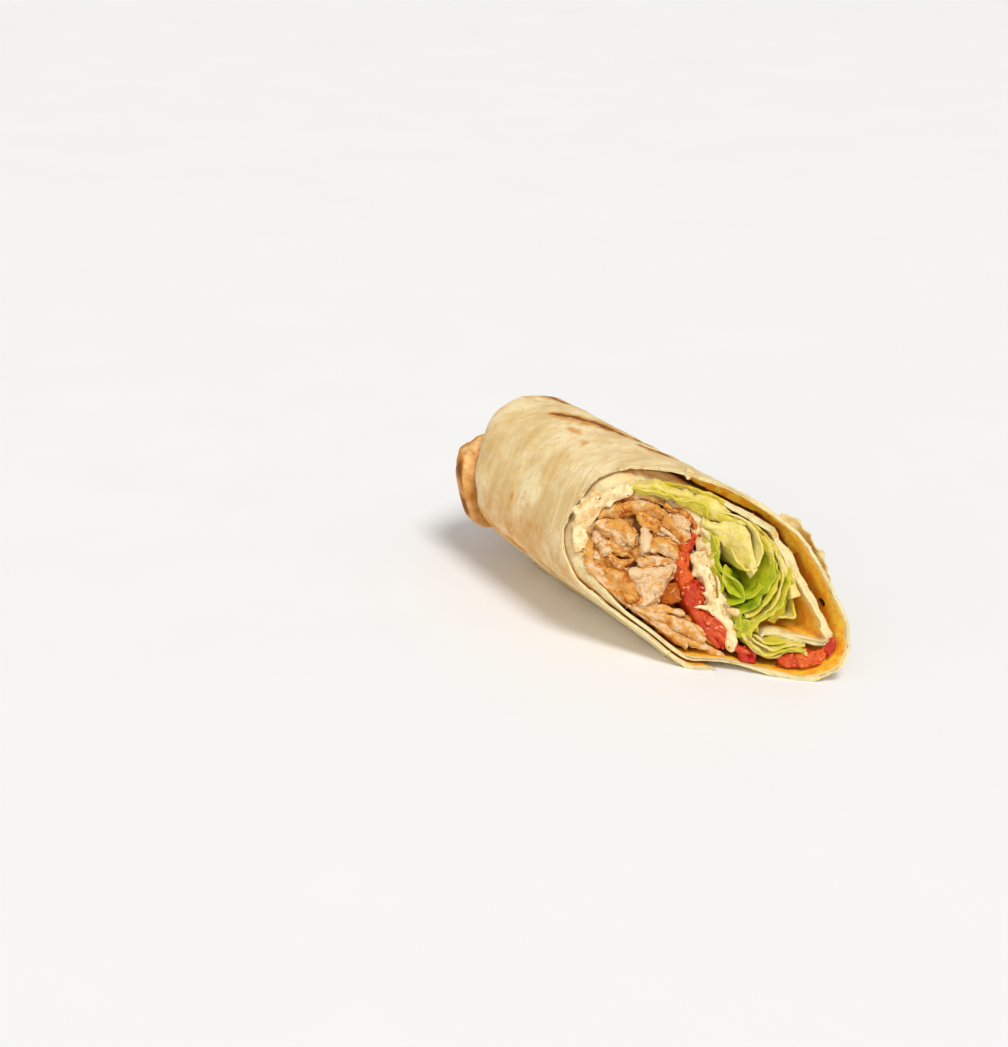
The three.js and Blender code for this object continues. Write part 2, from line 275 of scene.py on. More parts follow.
def serve(piece, material, slot, *nodes):
    """Gives a finished piece its material and its place in the frame."""
    if not piece.data.materials:
        piece.data.materials.append(material)
    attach(piece, "root")
    if nodes:
        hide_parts(*nodes)
    piece.data.calc_loop_triangles()
    print(f"{piece.name}: {len(piece.data.loop_triangles)} triangles")
    return piece


# %% [markdown]
# ## Materials as expressions
# A procedural material is a small calculation, so we write it as one. A Value wraps a socket, and adding or
# multiplying Values adds the Math nodes. The Recipe holds the node tree, and its node method makes every node.

# %% Shader maths
class Value:
    """A number in a material that can be added to, taken from and multiplied."""

    def __init__(self, recipe, socket):
        self.recipe, self.socket = recipe, socket

    def math(self, operation, first, second):
        return self.recipe.node("ShaderNodeMath", {"operation": operation}, {0: first, 1: second})

    def __add__(self, other):
        return self.math("ADD", self, other)

    def __sub__(self, other):
        return self.math("SUBTRACT", self, other)

    def __rsub__(self, other):
        return self.math("SUBTRACT", other, self)

    def __mul__(self, other):
        return self.math("MULTIPLY", self, other)


class Recipe:
    """A material's node tree."""

    def __init__(self, name):
        self.material = bpy.data.materials.new(name)
        self.material.use_nodes = True
        self.tree = self.material.node_tree
        self.tree.nodes.clear()
        self.space = self.node("ShaderNodeTexCoord", out="Object")

    def node(self, kind, settings=None, inputs=None, out=0):
        node = self.tree.nodes.new(kind)
        for name, setting in (settings or {}).items():
            setattr(node, name, setting)
        for name, value in (inputs or {}).items():
            if isinstance(value, Value):
                self.tree.links.new(value.socket, node.inputs[name])
            else:
                node.inputs[name].default_value = value
        return Value(self, node.outputs[out])

    def mark(self, name):
        """A number stored on the mesh's points."""
        return self.node("ShaderNodeAttribute", {"attribute_name": name}, out="Fac")

    def stretched(self, size):
        """Object coordinates scaled so that one unit is size millimetres along each axis."""
        scale = tuple(1 / (s * MM) for s in size)
        return self.node("ShaderNodeMapping", {"vector_type": "POINT"}, {"Vector": self.space, "Scale": scale})

    def grain(self, size, detail=3, rough=0.55):
        """Noise from 0 to 1 whose bumps are size millimetres wide, or wide differently along each axis."""
        if isinstance(size, tuple):
            inputs = {"Vector": self.stretched(size), "Scale": 1.0}
        else:
            inputs = {"Vector": self.space, "Scale": 1 / (size * MM)}
        return self.node("ShaderNodeTexNoise", None, {**inputs, "Detail": detail, "Roughness": rough})

    def step(self, value, low, high):
        """0 below low, 1 above high, smooth between."""
        settings = {"interpolation_type": "SMOOTHSTEP"}
        return self.node("ShaderNodeMapRange", settings, {"Value": value, "From Min": low, "From Max": high})

    def mix(self, factor, first, second):
        settings = {"data_type": "RGBA", "clamp_factor": True}
        return self.node("ShaderNodeMix", settings, {0: factor, 6: first, 7: second}, out=2)

    def bump(self, height, distance, strength):
        inputs = {"Height": height, "Distance": distance * MM, "Strength": strength}
        return self.node("ShaderNodeBump", None, inputs)

    def cook(self, **inputs):
        """Finishes the material with a Principled surface and returns it."""
        named = {name.replace("_", " "): value for name, value in inputs.items()}
        surface = self.node("ShaderNodeBsdfPrincipled", None, named)
        output = self.tree.nodes.new("ShaderNodeOutputMaterial")
        self.tree.links.new(surface.socket, output.inputs["Surface"])
        return self.material


def tint(red, green, blue):
    """A colour as a colour picker gives it, 0 to 255, made linear for the shader."""
    linear = [c / 255 / 12.92 if c <= 10 else ((c / 255 + 0.055) / 1.055) ** 2.4 for c in (red, green, blue)]
    return (*linear, 1.0)


# %% [markdown]
# ## Camera, light and floor
# The wrap is seen from its right front, a little above. The camera's direction comes from the angles of the
# cut face in the picture, and a long lens keeps the perspective as flat as a food photographer's. Light is a
# big soft sun high on the camera's right, a weaker and wider one low on its left that fills the shadows, and a
# bright room.

# %% Camera
VIEW_TURN, VIEW_RISE, VIEW_ROLL = math.radians(63.2), math.radians(19.55), math.radians(0.67)
EYE = Vector((617.1, -355.5, 279.3)) * MM
IMAGE_WIDTH, IMAGE_HEIGHT = 1008, 1047
FOCAL_PIXELS = 2441.2
SENSOR = 36.0
NEAR_CLIP, FAR_CLIP = 0.01, 20  # in metres

back = Vector((
    math.sin(VIEW_TURN) * math.cos(VIEW_RISE), -math.cos(VIEW_TURN) * math.cos(VIEW_RISE), math.sin(VIEW_RISE)
))
right = Vector((math.cos(VIEW_TURN), math.sin(VIEW_TURN), 0))
up = back.cross(right)
rolled_right = right * math.cos(VIEW_ROLL) + up * math.sin(VIEW_ROLL)
rolled_up = up * math.cos(VIEW_ROLL) - right * math.sin(VIEW_ROLL)

camera_data = bpy.data.cameras.new("camera")
camera_data.sensor_width = SENSOR
camera_data.lens = FOCAL_PIXELS * SENSOR / max(IMAGE_WIDTH, IMAGE_HEIGHT)
camera_data.clip_start, camera_data.clip_end = NEAR_CLIP, FAR_CLIP
camera = bpy.data.objects.new("camera", camera_data)
camera.matrix_world = Matrix((rolled_right, rolled_up, back)).transposed().to_4x4()
camera.location = EYE
bpy.context.scene.collection.objects.link(camera)
bpy.context.scene.camera = camera
print(f"lens {camera_data.lens:.1f} mm")

# %% Floor and lights
ROOM_LIGHT, ROOM_COLOUR = 0.47, (1.0, 0.985, 0.96, 1)
SUNS = [  # name, strength, colour, spread, turn and rise in degrees
    ("window", 2.05, (1.0, 0.98, 0.95), 22, 88, 57),
    ("reflector", 0.72, (1.0, 0.97, 0.93), 60, 34, 16),
]
FLOOR_HALF = 6.0  # in metres

scene = bpy.context.scene
scene.view_settings.view_transform = "Standard"
scene.view_settings.look = "None"

world = bpy.data.worlds.new("bright_room")
world.use_nodes = True
background = world.node_tree.nodes["Background"]
background.inputs["Color"].default_value = ROOM_COLOUR
background.inputs["Strength"].default_value = ROOM_LIGHT
scene.world = world


def sun(name, strength, colour, spread, turn, rise):
    """A soft sun that shines from a direction, in degrees round from -Y towards +X and above the floor."""
    lamp = bpy.data.lights.new(name, "SUN")
    lamp.energy, lamp.color, lamp.angle = strength, colour, math.radians(spread)
    holder = bpy.data.objects.new(name, lamp)
    a, e = math.radians(turn), math.radians(rise)
    towards = Vector((math.sin(a) * math.cos(e), -math.cos(a) * math.cos(e), math.sin(e)))
    holder.rotation_mode = "QUATERNION"
    holder.rotation_quaternion = towards.to_track_quat("Z", "Y")
    scene.collection.objects.link(holder)


for lamp_settings in SUNS:
    sun(*lamp_settings)

floor_mesh = bpy.data.meshes.new("floor")
floor_corners = [(x * FLOOR_HALF, y * FLOOR_HALF, 0) for x, y in ((-1, -1), (1, -1), (1, 1), (-1, 1))]
floor_mesh.from_pydata(floor_corners, [], [(0, 1, 2, 3)])
floor = bpy.data.objects.new("floor", floor_mesh)
scene.collection.objects.link(floor)
floor_recipe = Recipe("pale_table")
cloud = floor_recipe.grain(60, 2)
floor_recipe.cook(
    Base_Color=floor_recipe.mix(cloud, tint(240, 241, 242), tint(245, 246, 247)), Roughness=0.55,
)
floor.data.materials.append(floor_recipe.material)

# %% [markdown]
# ## The flatbread
# One thin round of bread makes the whole outside. Seen from the cut end it is a spiral: it starts at the flap
# under the roll, goes once round, climbs onto the flap, goes on for almost half a turn and then dives inwards,
# where its last stretch folds back on itself. We draw that spiral as one line, and make the bread by moving a
# ring of points along it: up the outer skin from the folded end to the cut, across the torn edge, and back
# down the inner skin. A modifier could thicken a plain sheet, but then its edge would be a clean ribbon. Torn
# bread splits into plies at its edge, so the edge gets rows of its own, with a groove between the plies.

# %% The spiral's middle line
CLIMBS, CLIMBED = 0.92, 0.985  # in turns from the flap: where the sheet climbs onto the flap
SNUG_GAP = 0.15  # between the turns: soft bread settles closer than the solids need
LEAVES = 1.44  # where it dives inwards
SINKS, SUNK, INNER_RECESS = 1.42, 1.6, 4.2  # the inner turn's edge lies deeper
INNER_TURN = [(-19, 19), (-9, 19), (1, 20.2), (11, 19.6), (20, 15.8), (29, 10.2), (38, 5.4), (43.5, 0.4)]
INNER_RETURN = [(41.5, -1.6), (35, -3.9), (27.5, -6), (25.4, -8), (26.6, -9.2)]
SPIRAL_POINTS = 1800
SPIRAL_ROUNDING = 3.5  # in points
DIRECTION_REACH = 3  # the outline's direction is taken over this length on both sides
COLUMN_STEP, FINER, COARSER = 1.15, 0.33, 0.2  # between columns, less where the bread is seen most, more inside


def on_loop(turn, inset):
    """A point on the roll's outline, moved inwards. Turns count clockwise from the flap."""
    where = (-turn % 1) * PERIMETER
    spot = at_lengths(loop, where)
    ahead, behind = (at_lengths(loop, (where + way * DIRECTION_REACH) % PERIMETER) for way in (1, -1))
    return spot + left_of(ahead - behind) * inset[..., None]


def blurred(line, width):
    """Rounds a line of evenly spaced points with a bell-shaped average that is width points wide."""
    reach = int(3 * width)
    bell = np.exp(-0.5 * (np.arange(-reach, reach + 1) / width) ** 2)
    bell /= bell.sum()
    padded = np.concatenate([
        2 * line[0] - line[reach:0:-1], line, 2 * line[-1] - line[-2:-reach - 2:-1]
    ])
    return np.stack([np.convolve(padded[:, k], bell, "valid") for k in range(line.shape[1])], axis=-1)


def spiral():
    turns = np.linspace(0, LEAVES, 1500)
    outer = on_loop(turns, BREAD / 2 + (BREAD + SNUG_GAP) * smoothstep(turns, CLIMBS, CLIMBED))
    inner = smooth_line([section_from_face(a, b) for a, b in INNER_TURN])
    turned_back = smooth_line([section_from_face(a, b) for a, b in INNER_RETURN])
    line = np.concatenate([outer, inner, turned_back])
    return blurred(evenly(line, SPIRAL_POINTS), SPIRAL_ROUNDING)


def column_step(turn):
    """The distance between columns in mm."""
    seen = smoothstep(turn, 0.04, 0.1) * (1 - smoothstep(turn, 0.6, 0.68))
    return COLUMN_STEP - FINER * seen + COARSER * smoothstep(turn, 1.05, 1.1)


def spread_columns(line):
    along = lengths(line)
    wanted = np.concatenate([[0], np.cumsum(np.diff(along) / column_step(along[1:] / PERIMETER))])
    where = np.interp(np.linspace(0, wanted[-1], int(wanted[-1])), wanted, along)
    middle = at_lengths(line, where)
    direction = at_lengths(line, where + 0.4) - at_lengths(line, where - 0.4)
    return middle, left_of(direction), where


spiral_line = spiral()
column, outwards, column_s = spread_columns(spiral_line)
column_turn = column_s / PERIMETER
print(f"the sheet is {column_s[-1]:.0f} mm from flap to curl, in {len(column)} columns")

# %% [markdown]
# ### Where the bread is browned
# Bread browns where it touched the grill: in dark streaks on the ridge of the roll, and in soft tan spots on
# the blisters that swell up between them. Each mark is placed by how far along the roll it lies and how far
# round, in turns from the flap. A colour noise alone would put them anywhere.

# %% Browned marks
GRILL_STREAKS = [  # (x, turns) along the streak, half width in mm, darkness
    ([(-42, 0.436), (-35.8, 0.461), (-30.5, 0.478), (-24.5, 0.489), (-15.5, 0.496)], 3.3, 1.05),
    ([(-19, 0.494), (-13.5, 0.510), (-7, 0.528)], 2.6, 0.95),
    ([(-3.5, 0.492), (4.5, 0.504), (12, 0.517)], 2.2, 0.95),
    ([(-71.0, 0.476), (-65.0, 0.498), (-54.0, 0.520)], 2.8, 0.9),
    ([(-52.0, 0.575), (-38.0, 0.590), (-22.0, 0.600)], 2.2, 0.6),
    ([(-8.0, 0.610), (6.0, 0.622), (17.0, 0.628)], 1.8, 0.55),
    ([(-60.0, 0.700), (-44.0, 0.694), (-30.0, 0.700)], 2.6, 0.62),
    ([(-12.0, 0.712), (6.0, 0.704), (26.0, 0.708)], 2.4, 0.66),
    ([(12.0, 0.790), (30.0, 0.782), (44.0, 0.786)], 2.0, 0.5),
    ([(-40.0, 0.800), (-24.0, 0.792), (-8.0, 0.797)], 2.2, 0.5),
]
TOAST_SPOTS = [  # x, turns, half length, half width round the roll, strength
    (-22.5, 0.424, 6.5, 2.2, 0.75), (-12.0, 0.410, 4.2, 1.8, 0.6), (-62.5, 0.385, 5.0, 5.0, 0.5),
    (-24.0, 0.262, 1.3, 2.6, 0.7), (-64.0, 0.450, 7.0, 3.0, 0.55), (-32.0, 0.470, 9.0, 4.0, 0.35),
    (-42.0, 0.185, 12.0, 8.0, 0.75), (-26.0, 0.160, 12.0, 7.0, 0.85), (-8.0, 0.150, 12.0, 6.0, 0.75),
    (6.0, 0.200, 2.0, 9.0, 0.55), (11.5, 0.262, 1.6, 9.0, 0.6), (16.0, 0.215, 2.2, 8.0, 0.55),
    (-50.0, 0.300, 3.0, 9.0, 0.35), (-55.0, 0.240, 3.0, 10.0, 0.4), (-33.0, 0.660, 9.0, 5.0, 0.5),
    (-22.0, 0.56, 62.0, 11.0, 0.25), (-20.0, 0.205, 62.0, 15.0, 0.5), (-18.0, 0.760, 50.0, 14.0, 0.3),
    (14.0, 0.660, 9.0, 4.0, 0.45), (-48.0, 0.850, 10.0, 7.0, 0.6), (30.0, 0.870, 12.0, 6.0, 0.6),
]
BLISTERS = 46
SMALLEST_BLISTER, LARGEST_BLISTER = 1.6, 4.2  # radius
BREAD_SEED = 7


def from_line(x, s, stops):
    """Distance in mm from places x, s on the unrolled bread to a line through stops, which tapers at its ends."""
    best = np.full(np.shape(x), 1e9)
    for k, ((x0, t0), (x1, t1)) in enumerate(zip(stops, stops[1:])):
        run = np.array([x1 - x0, (t1 - t0) * PERIMETER])
        share = np.clip(((x - x0) * run[0] + (s - t0 * PERIMETER) * run[1]) / (run @ run), 0, 1)
        away = np.hypot(x - x0 - share * run[0], s - t0 * PERIMETER - share * run[1])
        full = np.sin(math.pi * (0.08 + 0.84 * (k + share) / (len(stops) - 1))) ** 0.8
        best = np.minimum(best, away / full)
    return best


def charring(x, s):
    ragged = 1 + 0.5 * wander_up(on_sheet(x, s), (3.4, 1.6, 1), 3)
    dark = np.zeros(np.shape(x))
    for stops, width, strength in GRILL_STREAKS:
        dark = np.maximum(dark, strength * (1 - smoothstep(from_line(x, s, stops) / (width * ragged), 0.0, 1.35)))
    return dark


def toasting(x, s):
    tan = np.zeros(np.shape(x))
    for x0, turn, long, wide, strength in TOAST_SPOTS:
        away = np.hypot((x - x0) / long, (s - turn * PERIMETER) / wide)
        tan = np.maximum(tan, strength * (1 - smoothstep(away, 0.15, 1.3)))
    for stops, width, strength in GRILL_STREAKS:
        halo = 1 - smoothstep(from_line(x, s, stops) / width, 0.6, 3.2)
        tan = np.maximum(tan, 0.75 * strength * halo)
    return tan


blister_random = np.random.default_rng(BREAD_SEED)
blister_x = blister_random.uniform(-70, 60, BLISTERS)
blister_s = blister_random.uniform(0.12, 0.95, BLISTERS) * PERIMETER
blister_radius = blister_random.uniform(SMALLEST_BLISTER, LARGEST_BLISTER, BLISTERS)


def blistering(x, s):
    """Domed blisters: 0 on the flat bread, up to 1 on the top of the largest."""
    dome = np.zeros(np.shape(x))
    for x0, s0, radius in zip(blister_x, blister_s, blister_radius):
        away = np.hypot((x - x0) / 1.3, s - s0) / radius
        dome = np.maximum(dome, radius / LARGEST_BLISTER * np.clip(1 - away**2, 0, 1) ** 1.5)
    return dome


# %% Wrinkles in the bread
GATHER_REACH = 34  # the folded end gathers the sheet over this length


def wrinkles(x, s, spot, turn):
    """How far the sheet stands out, in mm, at x along the roll and s round it."""
    flat = on_sheet(x * 0.94 + s * 0.34, s * 0.94 - x * 0.34)
    hoops = ridges(flat, (2.9, 17, 1), 5) - 0.35
    fine_hoops = ridges(flat, (1.9, 9, 1), 9) - 0.35
    where = 0.5 + 0.5 * wander(spot, 22, 2)
    behind = np.clip((x - fold_x(spot[..., 1], spot[..., 2])) / GATHER_REACH, 0, 1)
    gathers = wander(on_sheet(x, s), (34, 5.5, 1), 8) * (1 - behind) ** 1.6
    dents = wander_up(spot, 17, 4)
    outside = 1 - 0.75 * smoothstep(turn, 0.96, 1.06)
    return outside * (0.5 * dents + (0.14 + 0.32 * where) * hoops + 0.16 * fine_hoops + 0.6 * gathers)


# %% [markdown]
# ### Lofting the sheet
# The rear rows fold in over the roll's end, with small pleats, as paper does when a parcel is closed. The rows
# at the cut follow the knife's slant and tear a little unevenly.

# %% The rows of the sheet
PRESSED = 0.7  # how far the roll's weight flattens it
# The burst bubble is not cut open: its hole is painted near-black on the inner skin, as painted shade.
HOLE = (32.6, 9.4, 7.0)  # a burst bubble in the inner wall, as a, b, n on the face
HOLE_SIZE = (3.6, 1.5, 2.2)
FOLD_IN = [  # depth in front of the folded end, share of full size, lean of the sheet in degrees
    (-0.1, 0.72, 86), (-0.1, 0.775, 86), (0.0, 0.83, 82), (0.2, 0.88, 72), (0.6, 0.925, 56), (1.3, 0.96, 38),
    (2.3, 0.985, 20), (3.6, 1, 6), (5.2, 1, 0), (7.0, 1, 0), (9.0, 1, 0), (11.4, 1, 0), (14.0, 1, 0),
]
PLAIN_START = 3.4  # the turns inside start here, in front of the end wall
PLEATS = 11
OUTER_SHARES = 1 - np.linspace(1, 0, 122) ** 1.25
INNER_SHARES = 1 - np.linspace(1, 0, 40) ** 1.9
EDGE_WAVES = 24.2  # how fast the plain edge waves in and out, in radians a turn
SECOND_TURN = (1.05, 1.15)  # between these turns the second turn's rougher rim sets in
TEARS = [  # how deep in mm, and the turns at which a tear starts, is full, is full no more and ends
    (3.2, (0.17, 0.26, 0.39, 0.47)), (5.2, (1.335, 1.37, 1.455, 1.5)),
]
CURL, CURL_REACH = 3.7, 6.5  # how far the second turn's edge curls in, and how far behind the cut it starts
EDGE_SIDES = [0.97, 0.8, 0.5, 0.16, -0.16, -0.5, -0.8, -0.97]
EDGE_REACH = [-0.1, 0.12, 0.18, -1.0, -1.0, 0.16, 0.1, -0.1]  # -1 stands for the groove between the plies


def hump(value, start, full, ends, gone):
    """0 outside start to gone, 1 between full and ends."""
    return smoothstep(value, start, full) * (1 - smoothstep(value, ends, gone))


def sheet_thickness(turn, s):
    """The sheet is baked unevenly, and thins out at its two long ends, so that they close in a rounded rim."""
    uneven = wander(on_line(s), 9, 31)
    thickness = 0.88 + 0.16 * uneven + 0.22 * smoothstep(turn, SINKS, SUNK)
    thickness[[0, -1]], thickness[[1, -2]], thickness[[2, -3]] = 0.2, 0.5, 0.75
    return thickness


def torn_front(turn, s):
    """Where the sheet's edge lies, in mm in front of the plain cut."""
    edge, second = on_line(s), smoothstep(turn, *SECOND_TURN)
    ragged = 0.55 * wander(edge, 3.4, 1) + 0.35 * wander(edge, 1.3, 2)
    ragged = ragged * (1 + 1.3 * second) + 0.8 * wander(edge, 8, 12) * second
    torn_back = sum(deep * hump(turn, *turns) for deep, turns in TEARS)
    return np.sin(turn * EDGE_WAVES) + ragged - torn_back - INNER_RECESS * smoothstep(turn, SINKS, SUNK)


def curl(turn, s, behind_cut):
    """How far the second turn's edge curls in over the filling, in mm."""
    curls, edge = hump(turn, 1.08, 1.2, 1.38, 1.46), on_line(s)
    wavy = 1 + 0.5 * wander(edge, 6, 33) + 0.3 * wander(edge, 2.2, 34) + 0.15 * wander(edge, 0.9, 35)
    return CURL * curls * wavy * np.clip(1 - behind_cut / CURL_REACH, 0, 1) ** 1.7


def fading(behind_cut, length):
    """1 at the torn edge and in front of it, fading over a length in mm behind it."""
    return np.exp(-np.clip(behind_cut, 0, None) / length)


def press_flat(yz):
    """The roll's own weight flattens it where it lies."""
    z = yz[..., 1]
    z = z - PRESSED * (1 - smoothstep(z, PRESSED - REST_DEPTH, 2 * PRESSED + 0.3 - REST_DEPTH))
    return np.stack([yz[..., 0], np.maximum(z, -REST_DEPTH)], -1)


def sheet_rows():
    """Every ring point as a row over all columns: place, and the numbers that its material reads."""
    count = len(column)
    half = BREAD / 2 * sheet_thickness(column_turn, column_s)
    inside = smoothstep(column_turn, 0.975, 1.04)
    front = torn_front(column_turn, column_s)
    edge = on_line(column_s)
    groove = 0.05 + 1.3 * np.clip(wander(edge, 7, 6) - 0.05, 0, 1)
    plies = {1: 0.35 * wander(edge, 2.3, 21), -1: 0.35 * wander(edge, 2.3, 22) - 0.15}
    pleat = np.abs(np.sin(math.pi * PLEATS * column_turn + 0.8 * wander(edge, 20, 3)))
    inner_wobble = (0.9 * wander(edge, 5, 41) + 0.45 * wander(edge, 2, 42)) * smoothstep(column_turn, 1.4, 1.48)
    dives = smoothstep(column_turn, 1.44, 1.5)
    flare = (0.7 + 0.6 * wander(edge, 3.4, 43) + 0.3 * wander(edge, 1.4, 44)) * dives
    second = smoothstep(column_turn, *SECOND_TURN)
    a, b, n = HOLE
    hole_y, hole_z = section_from_face(a + n * math.tan(SLANT), b)
    hole = np.array([cut_x(hole_y, hole_z) - n / math.cos(SLANT), hole_y, hole_z])
    rows = []

    def add(side, depth=None, size=1.0, lean=0.0, share=None, reach=0.0, crumb=0.0):
        middle = column * np.broadcast_to(size, count)[:, None]
        back_x = fold_x(middle[:, 0], middle[:, 1])
        if share is None:
            x = back_x + depth - side * half * np.sin(lean)
        else:
            x = lerp(back_x + FOLD_ROUND, cut_x(middle[:, 0], middle[:, 1]) + front, share) + reach
        spot = np.stack([x, middle[:, 0], middle[:, 1]], -1)
        stand_out = wrinkles(x, column_s, spot, column_turn)
        skin = (side > 0) * (1 - inside)
        dome = blistering(x, column_s) * skin
        behind_cut = cut_x(middle[:, 0], middle[:, 1]) + front - x
        slim = 1 + (flare - 0.35) * fading(behind_cut, 1.6)
        offset = (side * half * slim + stand_out + 0.4 * dome) * np.cos(lean) - curl(column_turn, column_s, behind_cut)
        offset = offset + inner_wobble * fading(behind_cut, 3.5)
        yz = press_flat(middle + outwards * offset[:, None])
        point = place(x, yz[:, 0], yz[:, 1])
        point[:, 2] = np.maximum(point[:, 2], 0)
        char = charring(x, column_s) * skin * (1 - crumb)
        # painted shade: the burst bubble's hole, painted dark on the inner skin
        from_hole = np.linalg.norm((spot - hole) / HOLE_SIZE, axis=-1)
        char = np.maximum(char, 1.4 * (side < 0) * (1 - smoothstep(from_hole, 0.55, 1.15)))
        toast = np.maximum(toasting(x, column_s), 0.45 * dome) * skin * (1 - crumb)
        stains = smoothstep(wander_up(spot, 3.4, 14), 0.02, 0.5) + 0.6 * smoothstep(wander(spot, 1.5, 15), 0.2, 0.7)
        torn_rim = 1.1 * fading(behind_cut, 1.4) * smoothstep(wander(edge, 2.4, 16), -0.2, 0.5)
        toast = toast + inside * (side > 0) * (1 - 0.8 * crumb) * (0.75 * stains + torn_rim)
        # sauce stain and painted light: the amber near the cut is also painted bright, standing in for light shining
        # through the thin bread
        soaked = (side < 0) * (1 - smoothstep(behind_cut, 12, 34)) * smoothstep(behind_cut, 0.3, 2.2)
        soaked = soaked * (1 - 0.6 * hump(column_turn, 1.0, 1.1, 1.4, 1.5))
        # painted light: amber on both sides of the inner turn lifts it where it lies in the outer turn's shade
        soaked = np.maximum(soaked, 0.3 * dives * smoothstep(behind_cut, 1.5, 4))
        # partly the paler torn crumb, partly painted light: the front 2 mm of the second and inner turns get the pale
        # edge colour to lift them out of shade
        pale = np.maximum(crumb, 0.85 * fading(behind_cut, 2.2) * second)
        rows.append((point, toast, char, soaked * (1 - pale), pale))

    fold_in = [(depth, size, math.radians(lean)) for depth, size, lean in FOLD_IN]
    plain = np.linspace(PLAIN_START, FOLD_ROUND, len(fold_in), endpoint=False)

    def add_fold_row(side, k):
        depth, size, lean = fold_in[k]
        gather = smoothstep(1 - size, 0.0, 0.2)
        depth = depth - 0.9 * pleat * gather
        size = size + 0.035 * wander(edge, 5, 4) * smoothstep(1 - size, 0.1, 0.28)
        add(side, lerp(depth, plain[k], inside), lerp(size, 1, inside), lean * (1 - inside))

    for k in range(len(fold_in)):
        add_fold_row(1, k)
    for share in OUTER_SHARES:
        add(1, share=share)
    for side, reach in zip(EDGE_SIDES, EDGE_REACH):
        ply = plies[1 if side > 0 else -1]
        add(side, share=1, reach=ply + (reach if reach > -1 else -groove), crumb=1.0)
    for share in INNER_SHARES[::-1]:
        add(-1, share=share)
    for k in reversed(range(len(fold_in))):
        add_fold_row(-1, k)
    return rows


rings, toast, char, soaked, crumb = (np.stack(values, axis=1) for values in zip(*sheet_rows()))
flatbread = Shells()
flatbread.loft(rings, toast=toast, char=char, soaked=soaked, crumb=crumb)
sheet = flatbread.build("flatbread_sheet")

# %% [markdown]
# ### The folded end
# Behind the roll the sheet is folded shut. A pleated wall closes the end, and the last corner of the bread is
# tucked over it like an envelope's flap. The tuck is a flat cushion with a fold line across it, browned where
# it was pressed on the grill.

# %% End wall and tuck
TUCK_Y, TUCK_Z = -16.5, -2
TUCK_HALF_WIDTH, TUCK_HALF_HEIGHT, TUCK_DEPTH = 14.5, 14, 12.5
TUCK_ROOT = 3.5  # how far the tuck is sunk into the wall
BLOCKY = 0.75  # 1 leaves a ball, less pushes it out towards a block
WALL_RINGS = [  # depth, share of full size
    (3.0, 0.5), (3.0, 0.8), (3.0, 0.91), (2.5, 0.945), (1.6, 0.945), (0.9, 0.91), (0.6, 0.86), (0.45, 0.8),
    (0.2, 0.72), (0.0, 0.64), (-0.15, 0.55), (-0.3, 0.46), (-0.4, 0.36), (-0.45, 0.26), (-0.5, 0.16), (-0.5, 0.06),
]


def end_wall(shells):
    around = np.linspace(0, 1, 181)[:-1]
    rim = on_loop(around, np.zeros(len(around)))
    pleat = np.abs(np.sin(math.pi * PLEATS * around + 3 * wander(rim[:, [0, 1, 1]], 30, 3)))
    rings = []
    for depth, size in WALL_RINGS:
        y, z = (rim * size).T
        swirl = smoothstep(size, 0.05, 0.5) * (1 - smoothstep(depth, 0.9, 2))
        x = fold_x(y, z) + depth - 0.9 * pleat * swirl
        rings.append(place(x, y, z))
    shells.loft(np.array(rings), toast=0.5, char=0, soaked=0, crumb=0)


def squared(value):
    """Pushes a ball's coordinate out towards a block's."""
    return np.sign(value) * np.abs(value) ** BLOCKY


def tuck(shells):
    """A flat cushion with a fold and creases, browned on its left and scorched in two spots on its edge."""
    polar = np.linspace(0.02, math.pi - 0.05, 74)[:, None]
    turn = np.linspace(0, 2 * math.pi, 133)[:-1][None, :]
    across, upward, out = np.sin(polar) * np.cos(turn), np.sin(polar) * np.sin(turn), np.cos(polar) + 0 * turn
    where = np.stack([across, upward, out], -1) * 14
    y = TUCK_Y + TUCK_HALF_WIDTH * squared(across) + 0.5 * wander(where, 7, 1)
    z = TUCK_Z + TUCK_HALF_HEIGHT * squared(upward) + 0.5 * wander(where, 7, 2)
    fold_line = across * 0.86 + upward * 0.5 - 0.12 + 0.08 * wander(where, 9, 5)
    lip = smoothstep(fold_line, -0.05, 0.03)
    creases = ridges(on_sheet(across * 4 - upward * 11, across * 11 + upward * 4), (16, 3.2, 1), 12)
    reach = np.where(out > 0, TUCK_DEPTH * np.abs(out) ** 0.8, TUCK_ROOT * out)
    front = smoothstep(out, 0.02, 0.3)
    reach = reach + front * (0.9 * wander_up(where, 9, 3) - 1.3 * lip - 0.7 * creases)
    x = fold_x(y, z) - reach
    browned = np.exp(-((across + 0.62) / 0.2) ** 2) * smoothstep(out, 0.3, 0.55)
    upper = np.exp(-((upward - 0.34) / 0.2) ** 2 - ((out - 0.1) / 0.2) ** 2) * (across < 0)
    lower = np.exp(-((upward + 0.3) / 0.16) ** 2 - ((out - 0.1) / 0.22) ** 2) * (across < 0)
    shells.loft(
        np.stack([x, AXIS_Y + y, REST_DEPTH + z], -1) * MM,
        toast=np.clip(0.6 + 0.7 * browned + 0.6 * creases * front + upper + lower, 0, 1),
        char=np.clip(0.32 + 0.3 * browned + 0.7 * upper + 1.0 * lower, 0, 1), soaked=0, crumb=0,
    )


folded = Shells()
end_wall(folded)
tuck(folded)
folded_end = folded.build("flatbread_folded_end")
